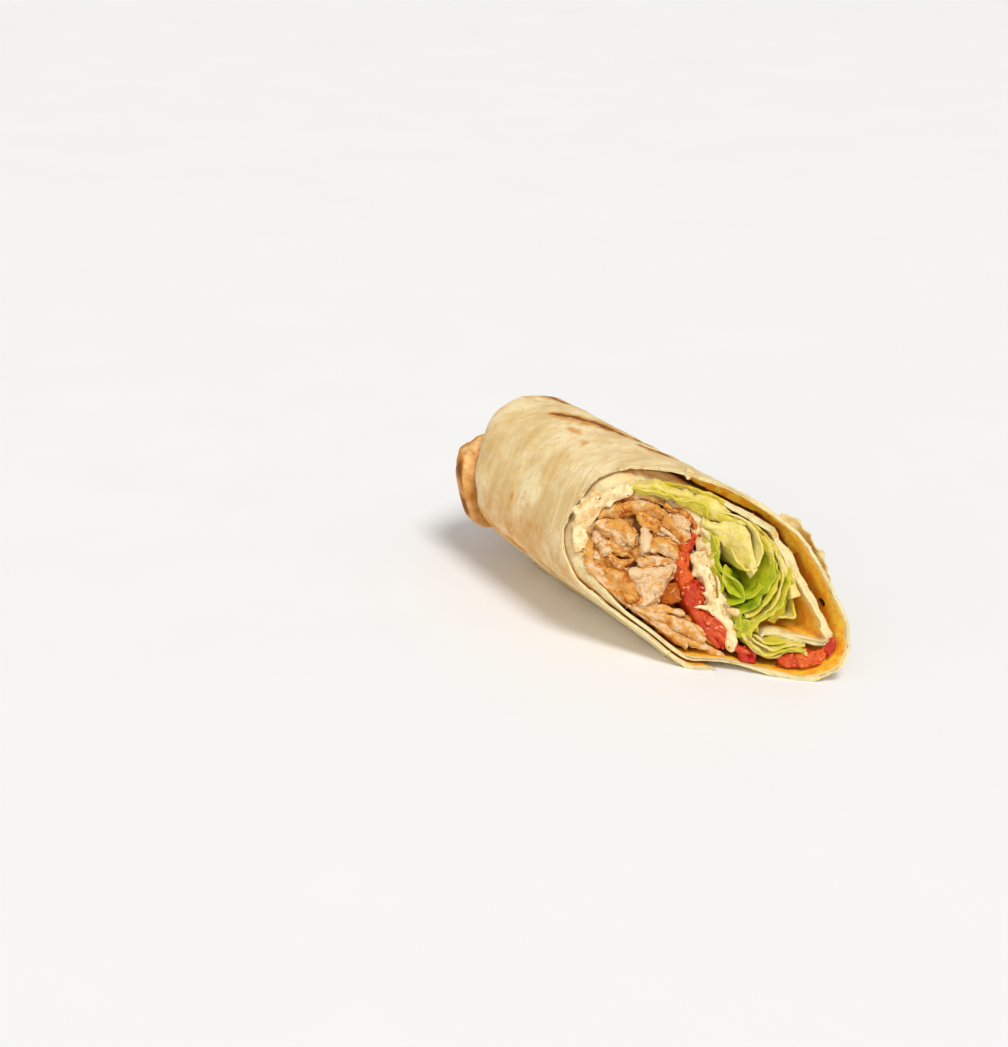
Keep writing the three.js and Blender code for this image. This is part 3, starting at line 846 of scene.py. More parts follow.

# %% [markdown]
# ### Baked bread as a material
# The bread is pale cream with a soft mottling, tan where it is toasted, and dark brown where it touched the
# grill. The marks stored on the points say where, and noise roughens their borders. A thin layer of scattered
# light keeps the cream from looking like painted plaster. The burst bubble in the inner wall is painted
# near-black, as painted shade of a hole that is not cut. The inside is stained amber by the sauce, and the
# amber is painted bright, as painted light shining through the thin bread. The torn edge is the palest, and
# the front of the turns set back in shade is painted pale too, as painted light.

# %% Bread material
def baked_bread():
    r = Recipe("baked_flatbread")
    toast, char, soaked, crumb = r.mark("toast"), r.mark("char"), r.mark("soaked"), r.mark("crumb")
    clouds, mottle, speckle = r.grain(14, 3), r.grain(3.2, 5, 0.6), r.grain(0.75, 2)
    cream = r.mix(r.step(clouds, 0.35, 0.66), tint(221, 189, 130), tint(246, 223, 174))
    cream = r.mix(r.step(mottle, 0.48, 0.72) * 0.55, cream, tint(222, 174, 100))
    bands = r.grain((2.6, 16.0, 16.0), 4, 0.6)
    cream = r.mix(r.step(bands, 0.54, 0.74) * 0.35, cream, tint(252, 236, 192))
    cream = r.mix(r.step(bands, 0.47, 0.28) * 0.28, cream, tint(212, 168, 98))
    tan = r.mix(mottle, tint(230, 160, 66), tint(198, 124, 40))
    browned = r.step(toast + (mottle - 0.5) * 0.6 + (speckle - 0.5) * 0.18, 0.12, 0.9)
    colour = r.mix(browned, cream, tan)
    dark = r.mix(speckle, tint(98, 54, 14), tint(150, 92, 32))
    colour = r.mix(r.step(char + (mottle - 0.5) * 0.7 + (speckle - 0.5) * 0.35, 0.2, 0.95), colour, dark)
    # painted light: this amber is brighter than the stain alone, standing in for light shining through the thin bread
    amber = r.mix(r.step(mottle, 0.35, 0.65), tint(250, 156, 6), tint(255, 208, 56))
    amber = r.mix(r.step(speckle, 0.62, 0.72) * 0.5, amber, tint(168, 84, 10))
    colour = r.mix(r.step(soaked + (clouds - 0.5) * 0.5, 0.1, 0.7) * 0.95, colour, amber)
    edge = r.mix(speckle, tint(255, 246, 200), tint(250, 222, 150))
    edge = r.mix(r.step(mottle, 0.54, 0.68) * 0.7, edge, tint(232, 178, 96))
    # the pale edge colour: real crumb on the torn edge, painted light on the front of the turns set back in shade
    colour = r.mix(crumb * 0.9, colour, edge)
    # only the painted hole goes past 1.15 here: its shade is painted near-black
    colour = r.mix(r.step(char, 1.15, 1.35), colour, tint(60, 26, 8))
    flecks = r.grain(0.9, 1)
    colour = r.mix(r.step(flecks, 0.72, 0.78) * (1 - crumb) * 0.6, colour, tint(150, 92, 34))
    pores = r.grain(0.45, 3, 0.65)
    hoops = r.grain((1.3, 7.0, 7.0), 3)
    relief = pores * 0.35 + hoops * 0.35 + mottle * 0.8 + bands * 0.3 + crumb * r.grain(0.6, 3, 0.7)
    return r.cook(
        Base_Color=colour, Roughness=0.78 - soaked * 0.25 - browned * 0.1, Specular_IOR_Level=0.25,
        Subsurface_Weight=0.3, Subsurface_Radius=(1.0, 0.68, 0.3), Subsurface_Scale=0.003,
        Normal=r.bump(relief, 0.6, 0.8),
    )


bread = baked_bread()
serve(sheet, bread, "flatbread", "flatbread")
serve(folded_end, bread, "flatbread", "flatbread")

# %% [markdown]
# ## Places on the cut face
# The fillings are drawn as a cook sees them, looking straight at the cut. Their third number is how far they
# lie behind the face, square to it. The roll leaves the face at a slant, so this is another direction than
# depth along the roll. Nothing may poke through the bread, so points that would are drawn in to its inner wall.

# %% Square to the cut face
CLEARANCE = 0.45  # between the fillings and the bread's inner wall
WALL_SOFTNESS = 1.5  # over this distance in front of the wall a filling is squeezed

wall_turn = np.linspace(0, 1, 361)[:-1]
doubled = 1 - smoothstep(wall_turn, LEAVES - 1, LEAVES - 0.97)
wall = on_loop(wall_turn, BREAD + (BREAD + TURN_GAP) * doubled + CLEARANCE)
wall_order = np.argsort(np.arctan2(wall[:, 1], wall[:, 0]))
wall_angle = np.arctan2(wall[:, 1], wall[:, 0])[wall_order]
wall_radius = np.hypot(wall[:, 0], wall[:, 1])[wall_order]


def in_the_bread(spot):
    """Draws food spots (a, b, depth) in to the inner wall of the bread where they would pass through it."""
    y, z = section_from_face(spot[..., 0], spot[..., 1])
    radius = np.hypot(y, z) + 1e-9
    room = np.interp(np.arctan2(z, y), wall_angle, wall_radius, period=2 * math.pi)
    into = np.clip(radius - room + WALL_SOFTNESS, 0, None) / WALL_SOFTNESS
    kept = np.where(radius > room - WALL_SOFTNESS, room - WALL_SOFTNESS * np.exp(-into), radius)
    return np.stack([*(spot[..., k] * kept / radius for k in (0, 1)), spot[..., 2]], -1)


def from_square(spot):
    """Spots (a, b, n), n being how far they lie square behind the cut face, as spots (a, b, depth)."""
    a, b, n = spot[..., 0], spot[..., 1], spot[..., 2]
    return np.stack([a + n * math.tan(SLANT), b, n / math.cos(SLANT)], -1)


def on_face(spot):
    """The real place of spots (a, b, n)."""
    return food(from_square(spot))


def behind_face(spot):
    """The same, but kept inside the bread."""
    return food(in_the_bread(from_square(spot)))


def normals(grid):
    """Unit normals of a grid of rings, pointing out of the shell."""
    along = np.gradient(grid, axis=0)
    around = np.roll(grid, -1, axis=1) - np.roll(grid, 1, axis=1)
    out = np.cross(along, around)
    out /= np.linalg.norm(out, axis=-1, keepdims=True) + 1e-9
    return out * np.sign((out * (grid - grid.mean((0, 1)))).sum())


def worked_out(marks, spot):
    """The same marks, those that are functions worked out at the spots."""
    return {name: value(spot) if callable(value) else value for name, value in marks.items()}


def turned(spot, degrees):
    """The same spots with their first two axes turned, so that the first one follows a grain."""
    c, s = math.cos(math.radians(degrees)), math.sin(math.radians(degrees))
    return np.stack([spot[..., 0] * c + spot[..., 1] * s, spot[..., 1] * c - spot[..., 0] * s, spot[..., 2]], -1)


# %% [markdown]
# ## Crumpled sheets
# Leaves and torn flaps of meat are surfaces stretched over a few guide lines, then crumpled by noise. The
# crumpling grows towards the rim, as it does where a real leaf has room to curl.

# %% Patches stretched over guide lines
def with_depth(line, *depths):
    """Adds depths to a line of (a, b), spread evenly from its first point to its last."""
    n = np.interp(np.linspace(0, 1, len(line)), np.linspace(0, 1, len(depths)), depths)
    return [(a, b, depth) for (a, b), depth in zip(line, n)]


def evenly_rows(grid, count):
    """Fewer or more rows for a grid of points, evenly spaced."""
    rows = np.linspace(0, len(grid) - 1, count)
    low = np.minimum(rows.astype(int), len(grid) - 2)
    return lerp(grid[low], grid[low + 1], (rows - low)[:, None, None])


def on_both_skins(value):
    """A number for each point of a patch, as a number for each ring point of the closed sheet made from it."""
    return np.concatenate([value[:1], value, value[-1:], value[::-1]]).T


def leaf_patch(
    shells, guides, rumple=0.7, thick=0.5, seed=0, step=0.38, tones=(0.2, 0.6), ruffle=0.5,
    shade="green", lay=behind_face, **marks,
):
    """A thin sheet through guides, each a line of (a, b) and the depths n along it. The mark named shade goes
    from the first tone at the first guide to the second tone at the last one."""
    lines = [smooth_line(with_depth(*guide)) for guide in guides]
    longest = max(lengths(line)[-1] for line in lines)
    columns = int(longest / step)
    stack = np.stack([evenly(line, columns) for line in lines])
    across = smooth_line(stack.reshape(len(lines), -1), fine=30)
    width = np.linalg.norm(np.diff(stack, axis=0), axis=-1).sum(0).max()
    sheet = evenly_rows(across.reshape(len(across), columns, 3), max(int(width / step), 6))
    out = np.cross(np.gradient(sheet, axis=0), np.gradient(sheet, axis=1))
    out /= np.linalg.norm(out, axis=-1, keepdims=True) + 1e-9
    if out[..., 2].sum() > 0:
        out = -out
    down = np.linspace(0, 1, sheet.shape[0])[:, None]
    along = np.linspace(0, 1, columns)[None, :]
    rim = np.maximum(np.abs(2 * down - 1), np.abs(2 * along - 1)) ** 3
    folds = ridges(sheet, (4.5, 4.5, 6), seed, 2) - 0.5
    crumple = rumple * (wander_up(sheet, 4.6, seed + 1) + 0.7 * folds) + ruffle * rim * wander(sheet, 2.1, seed + 2)
    crumple = crumple + 0.16 * wander(sheet, 1.0, seed + 3)
    sheet = sheet + out * crumple[..., None]
    tone = lerp(tones[0], tones[1], down + 0 * along) + 0.22 * wander_up(sheet, 6, seed + 4)
    vein = ridges(sheet, (2.6, 2.6, 4), seed + 5, 7)
    top, bottom = sheet, sheet - out * thick
    edge = (top + bottom)[[0, -1]] / 2
    spot = np.concatenate([edge[:1], top, edge[1:], bottom[::-1]]).transpose(1, 0, 2)
    shells.loft(
        lay(spot), **{shade: on_both_skins(tone)}, vein=on_both_skins(vein), **worked_out(marks, spot),
    )


# %% Flakes peeling off the torn edge
FLAKES = [  # guide lines with depths, then how crumbly and how soaked
    ([([(9.6, 25), (13.4, 25.9), (18.4, 24.6), (24, 21.9), (28.4, 19), (32, 16)], 0.6, 0.2, 1.0),
      ([(9.4, 24.8), (13.4, 24.7), (18, 23.3), (23.4, 20.4), (28, 17.4), (31.8, 15.6)], 1.0, 3.0, 1.4),
      ([(9.2, 24.6), (13.2, 23.2), (17.6, 21.4), (22.8, 18.4), (27.6, 16), (31.6, 15.3)], 1.4, 4.6, 1.8)],
     0.45, 0),
    ([([(-22, 23.4), (-20.4, 23.6), (-18.6, 23.2)], 0.9), ([(-20.4, 20.6), (-19.7, 20.2), (-19.3, 20.8)], 0.2)],
     0.45, 0),
    # a soaked shred that bridges the gap between the two turns at the top; its amber is partly painted light shining
    # through the bread
    ([([(-21, 21.4), (-12, 23.6), (0, 24.5), (8.2, 24.2), (13.7, 23.2), (20.7, 19.6)], 2.2, 3.4),
      ([(-20, 21), (-10.2, 22.6), (-0.2, 23.3), (7.7, 23), (13, 21.4), (19, 18.2)], 3.8, 5.2),
      ([(-18.6, 20.6), (-8.4, 21.4), (-0.5, 22), (7, 21.8), (12.4, 19.6), (17.4, 16.8)], 4.6, 7)],
     0, 0.85),
]
flakes = Shells()
for seed, (guides, crumbly, soaked) in enumerate(FLAKES):
    leaf_patch(
        flakes, guides, 0.45, 0.45, seed + 4, 0.3, ruffle=1.0 - soaked, shade="tone", lay=on_face,
        crumb=crumbly, soaked=soaked, char=0,
        toast=lambda spot: np.clip(0.35 + 0.9 * wander(spot, 2.6, 5), 0, 1),
    )
serve(flakes.build("flatbread_flakes"), bread, "flatbread", "flatbread")

# %% [markdown]
# ## Chicken
# The chicken is grilled, torn and cut, so no two lumps are alike. Each lump starts as its outline on the cut
# face, blown up into a rounded block. A few flat cuts are taken off it, as a knife would. Then two noises work
# on it: a coarse one dents it, and a long thin one raises fibres along the meat's grain.

# %% Lumps and strands
STRAND_STEP = 0.32  # between the points of a strand


def lump(
    shells, outline, front, thick, block=0.5, cuts=8, dents=0.75, fibres=0.5, tilt=0.3, grain=0, seed=0, step=0.34,
    **marks,
):
    """A solid lump with a given outline, its front lying front mm behind the face."""
    rim = spaced(smooth_line(outline, closed=True), step)[:-1]
    centre = rim.mean(0)
    reach = np.linalg.norm(rim - centre, axis=1)
    polar = np.linspace(0.04, math.pi - 0.04, int((2 * reach.mean() + thick) / step))[:, None]
    size, way = np.sin(polar) ** block, -np.sign(np.cos(polar)) * np.abs(np.cos(polar)) ** (1.3 * block)
    flat = centre + (rim - centre) * size[..., None]
    random = np.random.default_rng(seed)
    depth = front + thick * (1 + way) / 2 + (flat - centre) @ random.uniform(-tilt, tilt, 2)
    spot = np.concatenate([flat, depth[..., None]], -1)
    middle = np.array([*centre, front + thick / 2])
    for _ in range(cuts):
        away = random.normal(size=3)
        away /= np.linalg.norm(away)
        over = (spot - middle) @ away
        over = np.clip(over - random.uniform(0.6, 0.85) * over.max(), 0, None)
        spot = spot - 0.95 * over[..., None] * away
    flank = np.clip(1 - np.abs(way), 0, 1) ** 1.5
    return relief(shells, spot, dents, fibres, grain, seed, flank=flank, **marks)


def relief(shells, spot, dents, fibres, grain, seed, lay=behind_face, **marks):
    """Dents and fibres on a shell, which is then laid in its place behind the face."""
    along = turned(spot, grain)
    raised = dents * wander_up(spot, 3.6, seed, 3) + 0.5 * fibres * wander(spot, 0.9, seed + 5)
    raised = raised + fibres * (ridges(along, (8, 0.9, 0.9), seed + 1, 2) - 0.5)
    spot = spot + normals(spot) * raised[..., None]
    marks = {name: np.asarray(value) + 0 * raised for name, value in marks.items()}
    # painted shade: the low points of the relief, which the chicken and tomato materials paint darker
    hollow = np.clip(0.35 - raised / (dents + fibres), 0, 1)
    shells.loft(
        lay(spot), grain_a=along[..., 0], grain_b=along[..., 1], grain_n=along[..., 2], behind=spot[..., 2],
        hollow=hollow, **marks,
    )


def strand(shells, line, width, front, thick=None, dents=0.4, fibres=0.18, seed=0, **marks):
    """A torn strand along a line on the face, thin at its ends and as thick as it is wide if not told."""
    middle = spaced(smooth_line(line), STRAND_STEP)
    side = left_of(np.gradient(middle, axis=0))[:, None]
    thick = thick or width
    t = np.linspace(0, 1, len(middle))
    plump = (1 - np.abs(2 * t - 1) ** 3) ** 0.5 * (1 + 0.3 * wander(on_line(t * 20), 4, seed))
    plump = np.clip(plump, 0.06, None)[:, None, None]
    around = max(int(math.pi * (width + thick) / 2 / STRAND_STEP), 14)
    angle = np.linspace(0, 2 * math.pi, around + 1)[None, :-1, None]
    flat = middle[:, None] + side * np.cos(angle) * width / 2 * plump
    depth = front + thick / 2 - np.sin(angle) * thick / 2 * plump
    drift = 0.6 * wander(on_line(t * 30), 7, seed + 3)[:, None, None]
    spot = np.concatenate([flat, depth + drift], -1)
    grain = math.degrees(math.atan2(*(middle[-1] - middle[0])[::-1]))
    return relief(shells, spot, dents, fibres, grain, seed, **marks)


# %% The chicken's lumps, as seen on the cut
CHICKEN_LUMPS = [  # outline (a, b), front, thickness, tone from white meat 0 to browned 1, grain in degrees
    ([(-29, 5.5), (-26, 1.8), (-22.5, 0.8), (-19, 4.2), (-18, 7), (-20.5, 8.3), (-24.5, 7.6)], 1.5, 6, 0.55, 15),
    ([(-37.2, -5), (-34, -1), (-30, 0.4), (-24.3, -1.6), (-26.3, -6.8), (-30, -7.4), (-33.5, -6)], 0.7, 6, 0.35, 30),
    ([(-30.4, -7.5), (-28, -10.6), (-22, -9.8), (-20.2, -6), (-21.5, -1.5), (-25.5, -2.5)], 2.6, 5, 0.5, 20),
    ([(-39.8, -8), (-38.5, -6), (-36.3, -6.5), (-35.9, -9), (-37.5, -11.2)], 1.4, 4, 0.0, 80),
    ([(-36.2, -6.2), (-34, -5.4), (-33, -8), (-33.8, -10.8), (-35.8, -9.7)], 1.1, 4, 0.04, 75),
    ([(-33.2, -5.8), (-30, -6.6), (-28.2, -10), (-30.6, -12.8), (-34, -11.8), (-33.9, -8)], 1.0, 5, 0.02, 60),
    ([(-40, -13.2), (-34, -12.2), (-28.8, -12.8), (-27.8, -16.3), (-33, -17.8), (-37, -16.4)], 2.0, 4, 0.0, 10),
    ([(-23.9, 0.8), (-21.8, 1.2), (-18.4, -2.4), (-17.6, -4.9), (-20.3, -6.2), (-22.4, -3.2)], 0.7, 3, 0.0, -60),
    ([(-20.2, -0.5), (-17.5, 2), (-12, 1.9), (-10.2, 0.2), (-15.5, -3.6), (-18.8, -4.2)], 1.2, 5, 0.4, 10),
    ([(-20.2, 8.4), (-16.5, 10.1), (-12.5, 9.7), (-9.3, 8), (-13.5, 6.8), (-17, 7.1)], 0.5, 2.5, 0.03, 0),
    ([(-19.4, 7), (-16, 6.6), (-12, 6.8), (-10.8, 3.8), (-15, 3.8), (-18.4, 4.6)], 2.0, 4, 0.75, 20),
    ([(-21.8, -9.6), (-18.5, -5.8), (-14.8, -3.5), (-10.8, -1.4), (-10.1, -3), (-14.5, -6.4), (-18.5, -9.2)],
     0.7, 3, 0.42, 45),
    ([(-20.8, -13), (-19.9, -10.2), (-15.2, -6.6), (-9, -3), (-8.8, -11), (-7.6, -15.6), (-6, -17.3), (-11, -20.2),
      (-16.8, -15.2)], 0.4, 7, 0.06, 40),
    ([(-28, -18), (-25.5, -15.3), (-21.5, -13.4), (-17, -14.8), (-12.6, -18), (-12.4, -20.8), (-20, -20.7)],
     0.8, 6, 0.72, -15),
    ([(-11.8, -12), (-8.3, -8), (-5, -7.5), (-1.6, -10.8), (-3.8, -14.6), (-8.7, -15.1)], 2.4, 5, 1.5, 20),
    ([(-30, -12.8), (-25, -11.2), (-20.6, -10.4), (-20, -13.4), (-24, -15.2)], 2.4, 5, 0.8, 0),
    ([(-33, 4), (-29, 3.4), (-27.4, 0.8), (-30.6, -0.6), (-34.5, 0.4)], 4.0, 5, 0.9, 70),
    ([(-25, 10.6), (-19, 11.2), (-12, 11.6), (-10, 9.6), (-16, 9), (-23, 9)], 2.8, 4, 0.68, 5),
]
CHICKEN_STRANDS = [  # line (a, b), width, front, thickness, tone
    ([(-34.5, -17.4), (-29, -19.6), (-22, -21.6), (-14, -22.8), (-7, -22.4)], 3.2, 1.6, 4, 0.55),
    ([(-9, -22.6), (-2, -21.8), (5, -20.8), (12, -19.8), (17, -19)], 2.6, 1.0, 4, 0.45),
    ([(-31, -17.6), (-25, -20), (-18, -21.4), (-12, -21.2)], 2.2, 0.5, 2.4, 0.3),
    ([(-41, -14.6), (-37, -17), (-32.5, -18.6)], 2.4, 1.2, 3, 0.25),
    ([(-20, 10.4), (-15, 10.9), (-10.4, 9.2), (-6.6, 6.4)], 2.4, 1.6, 3, 0.85),
    ([(-37.6, -2), (-36.4, 1.6), (-33.4, 4.4)], 2.6, 1.6, 3.4, 0.8),
    ([(-19, 3.7), (-16.5, 3.5), (-13.5, 3.1), (-11.4, 2.5)], 1.4, 0.6, 1.4, 0.05),
    ([(-30, -10.3), (-26.5, -11.4), (-23.5, -11.2), (-21, -8)], 1.9, 1.3, 2, 0.8),
    ([(-13.4, -20.6), (-9, -18.8), (-4.6, -16), (0.5, -14.6)], 2.8, 0.8, 2.8, 0.4),
    ([(-10, -20.6), (-3, -18.4), (3, -16.8), (9, -16.8), (13, -17.6)], 3.0, 1.5, 3, 0.5),
    ([(-2, -20.6), (4, -19.4), (10, -19)], 2.4, 3.0, 2.4, 0.6),
    ([(-36, -15.8), (-31, -17), (-27, -17.4), (-24, -17.4)], 2.3, 2.2, 2.4, 0.15),
    ([(-26, -12.6), (-23, -12.4), (-20.6, -11.6)], 1.5, 0.9, 1.5, 0.15),
    ([(-34.6, 7.6), (-31, 9.2), (-27, 10), (-23, 10.2)], 2.2, 2.4, 2.4, 0.5),
]
SHREDS = 40  # small strands that fill the gaps between the lumps
SHRED_SEED, UNDERLAYER_SEED = 4, 12
UNDERLAYER_PITCH = 4.3  # lumps behind the first ones lie this far apart
UNDERLAYER_EDGE = ([-19, -12, -5, 2, 9], [9, 0, -7, -11, -11])  # at these b they reach as far right as these a
LINING_TURNS = np.linspace(0.27, 0.035, 9)
LINING = [(3.9, 4.2), (4.3, 2.2), (5.2, 1.0), (7.0, 1.2)]  # guides of a flap beside the bread: inset, depth
CAVITIES = [  # dark gaps, which no small strand or lump behind fills
    (-26.6, 3.4), (-27, 0.4), (-10.6, -2.2), (-22.6, -12.4), (-8, -9), (-4, -12.6), (0.6, -14.4), (-11.6, 8.6),
]
CAVITY_REACH = 3.3
CHICKEN_SHEETS = [  # guide lines with depths, thickness, tone at the first and last guide, grain in degrees
    ([([(-38, -2.4), (-36.4, 1.6), (-33, 5), (-28.4, 8), (-23.4, 9), (-18.4, 8.8)], 2.2),
      ([(-37.2, -3), (-35, 0.6), (-31.8, 3.6), (-27.6, 6.6), (-23, 7.8), (-18.6, 7.6)], 0.6),
      ([(-36.2, -4), (-33.6, -1.2), (-30.8, 1.2), (-27.2, 4), (-22.6, 5.6), (-18.4, 5.6)], 2.8)],
     1.5, (0.1, 0.85), 35),
    ([([(-36.5, -4.6), (-33, -0.8), (-29.4, 0.2), (-25, -0.6)], 2.0, 1.2),
      ([(-35, -5.6), (-31.6, -2.4), (-28, -2), (-24, -2.6)], 0.4),
      ([(-33.2, -6.8), (-30, -5), (-27, -5), (-23, -5.4)], 1.2)],
     1.6, (0.75, 0.15), 20),
    ([([(-20.6, -11.6), (-18.8, -9.6), (-14.4, -6.6), (-9.6, -4)], 1.4),
      ([(-20, -13), (-17, -11), (-13.4, -8.6), (-9, -6.6)], 0.2),
      ([(-18, -15), (-15, -13.4), (-12, -11.4), (-9.4, -9.4)], 1.6)],
     1.4, (0.35, 0.0), 42),
    ([([(-26, -13.4), (-21.6, -12.6), (-17, -13.6), (-14, -16)], 1.6),
      ([(-26.6, -15.4), (-22, -15), (-17.4, -16), (-14.6, -18)], 0.3),
      ([(-26.4, -18), (-22, -18.4), (-18, -19), (-15, -20)], 1.8)],
     1.5, (0.95, 0.3), -20),
    ([([(-19.6, 8), (-16, 8.4), (-12, 8), (-9.6, 6)], 1.6),
      ([(-19.8, 6.2), (-16, 6.4), (-12.4, 5.6), (-10.4, 4)], 0.3),
      ([(-19.4, 4), (-16, 4), (-13, 3.2), (-11, 2.6)], 2.0)],
     1.4, (0.25, 1.0), 10),
    ([([(-19.6, 0.4), (-16, 2.4), (-12, 2.2), (-9.8, 0.6)], 1.8),
      ([(-19.4, -1.6), (-15.6, 0), (-12, -0.4), (-9.6, -1.4)], 0.5),
      ([(-18.6, -4), (-15, -2.6), (-12, -2.6), (-9.8, -3.2)], 2.2)],
     1.4, (0.8, 0.2), 8),
    ([([(-14, -20), (-8, -18.4), (-2, -16.6), (4, -16), (10, -17.4)], 1.2),
      ([(-14.4, -21.4), (-8, -20.2), (-2, -18.6), (4, -18), (10, -18.6)], 0.2),
      ([(-14, -22.6), (-8, -21.8), (-2, -20.6), (4, -20), (9, -19.8)], 1.8)],
     1.3, (0.25, 0.7), -8),
    ([([(-35, -16.6), (-29, -18.8), (-21, -20.6), (-12, -21.6), (-3, -21.4), (6, -20.4)], 0.8),
      ([(-36, -18), (-29, -20.6), (-21, -22.4), (-12, -23.4), (-3, -23.2), (6, -22.2)], 0.3, 0.8),
      ([(-36.6, -19.6), (-29, -22.4), (-21, -24.2), (-12, -25.2), (-3, -25), (6, -24)], 2.6)],
     1.2, (0.3, 0.75), -10),
]


def in_a_cavity(spot):
    return any(math.dist(spot, cavity) < CAVITY_REACH for cavity in CAVITIES)


def meat_sheet(shells, guides, thick, tones, grain, seed, lay=behind_face):
    """A torn flap of meat, stretched over guide lines as a leaf is."""
    leaf_patch(
        shells, guides, 0.55, thick, seed, 0.36, tones, 0.6, shade="tone", lay=lay,
        grain_a=lambda spot: turned(spot, grain)[..., 0], grain_b=lambda spot: turned(spot, grain)[..., 1],
        grain_n=lambda spot: spot[..., 2], behind=lambda spot: spot[..., 2],
        # random patches fed to the same painted hollow shade as the lumps' low points
        hollow=lambda spot: np.clip(0.3 - wander_up(spot, 2.6, seed), 0, 1),
    )


def beside_wall(turns, inset, n):
    """A guide that follows the bread's inner wall at the given turns, n behind the face."""
    y, z = on_loop(turns, np.full(len(turns), inset)).T
    a, b = (y * COS_TILT - z * SIN_TILT) / math.cos(SLANT), y * SIN_TILT + z * COS_TILT
    return list(zip(a - n * math.tan(SLANT), b)), n


def chicken_lumps(shells):
    """A flap that lines the bread first, then the torn flaps, the lumps, the strands and small shreds."""
    guides = [beside_wall(LINING_TURNS, inset, n) for inset, n in LINING]
    meat_sheet(shells, guides, 0.9, (0.9, 0.35), 0, 320, lay=on_face)
    for seed, (guides, thick, tones, grain) in enumerate(CHICKEN_SHEETS):
        meat_sheet(shells, guides, thick, tones, grain, seed + 300)
    for seed, (outline, front, thick, tone, grain) in enumerate(CHICKEN_LUMPS):
        lump(shells, outline, front, thick, grain=grain, seed=seed + 40, tone=tone)
    for seed, (line, width, front, thick, tone) in enumerate(CHICKEN_STRANDS):
        strand(shells, line, width, front, thick, seed=seed + 70, tone=tone)
    random = np.random.default_rng(SHRED_SEED)
    for seed in range(SHREDS):
        start = np.array([random.uniform(-35, -6), random.uniform(-18, 10)])
        if in_a_cavity(start):
            continue
        heading = random.uniform(0, math.pi)
        line = [start]
        for _ in range(3):
            heading += random.uniform(-0.5, 0.5)
            line.append(line[-1] + random.uniform(1.2, 2.2) * np.array([math.cos(heading), math.sin(heading)]))
        strand(
            shells, line, random.uniform(0.8, 1.6), random.uniform(1.8, 4.2), seed=seed + 100,
            dents=0.2, fibres=0.1, tone=random.uniform(0.0, 0.9),
        )


def chicken_underlayer(shells):
    """Rounded lumps on a shaken grid, which show dimly in the gaps."""
    random = np.random.default_rng(UNDERLAYER_SEED)
    seed = 200
    for a in np.arange(-38, 4, UNDERLAYER_PITCH):
        for b in np.arange(-19, 11, UNDERLAYER_PITCH):
            centre = np.array([a, b]) + random.uniform(-1.4, 1.4, 2)
            if centre[0] > np.interp(centre[1], *UNDERLAYER_EDGE) or in_a_cavity(centre):
                continue
            radius, long = random.uniform(2.6, 3.7), random.uniform(1, 1.5)
            spin = random.uniform(0, math.pi)
            angle = np.linspace(0, 2 * math.pi, 8)[:-1]
            ring = np.stack([np.cos(angle) * long, np.sin(angle)], -1) * radius * random.uniform(0.85, 1.15, (7, 1))
            turn = np.array([[math.cos(spin), math.sin(spin)], [-math.sin(spin), math.cos(spin)]])
            seed += 1
            lump(
                shells, centre + ring @ turn, random.uniform(2.6, 4.6), 6, cuts=5, grain=math.degrees(spin),
                seed=seed, step=0.5, tone=random.uniform(0.3, 1.0),
            )


# %% The heap of meat behind them
CHICKEN_CORE = [
    (-36, -3.6), (-36, 2), (-32, 7), (-25, 10.2), (-16, 11.6), (-11.5, 9.4), (-12.2, 4), (-11.5, -1),
    (-7.6, -6.4), (-2, -11), (5, -15), (7.4, -17.8), (-1, -19.5), (-10, -20.1), (-20, -19.3), (-28.6, -16.3),
    (-34.2, -10.9),
]
CORE_CENTRE = (-20.0, -4.0)
CORE_RECESS, CORE_RADIUS = 7.5, 22


def rear_depth(a, b):
    """How deep the room for fillings is, along the roll."""
    y, z = section_from_face(a, b)
    return cut_x(y, z) - fold_x(y, z) - FILLING_START


def chicken_core(shells):
    rim = evenly(smooth_line(CHICKEN_CORE, closed=True), 221)[:-1]
    centre = np.array(CORE_CENTRE)
    rings = []
    for size in np.linspace(0.02, 1, 46):
        flat = centre + (rim - centre) * size
        depth = CORE_RECESS + 1.6 * wander_up(flat[:, [0, 1, 1]], 4, 8) + 3 * size**6
        rings.append(np.column_stack([flat, depth]))
    front = rings[-1][:, 2]
    for share in np.linspace(0, 1, 30)[1:] ** 2:
        rings.append(np.column_stack([rim, lerp(front, rear_depth(rim[:, 0], rim[:, 1]), share)]))
    rings = np.array(rings)
    raised = 0.8 * wander_up(rings, 5, 9)
    rings[..., :2] += (rings[..., :2] - centre) / CORE_RADIUS * raised[..., None]
    shells.loft(
        # behind=6 has the material paint the heap in the dark maroon painted shade
        food(in_the_bread(rings)), tone=0.8 + 0.3 * wander(rings, 5, 2), behind=6,
        grain_a=rings[..., 0], grain_b=rings[..., 1], grain_n=rings[..., 2],
    )


meat = Shells()
chicken_lumps(meat)
chicken = meat.build("chicken_lumps")
heap = Shells()
chicken_core(heap)
chicken_underlayer(heap)
chicken_behind = heap.build("chicken_heap")
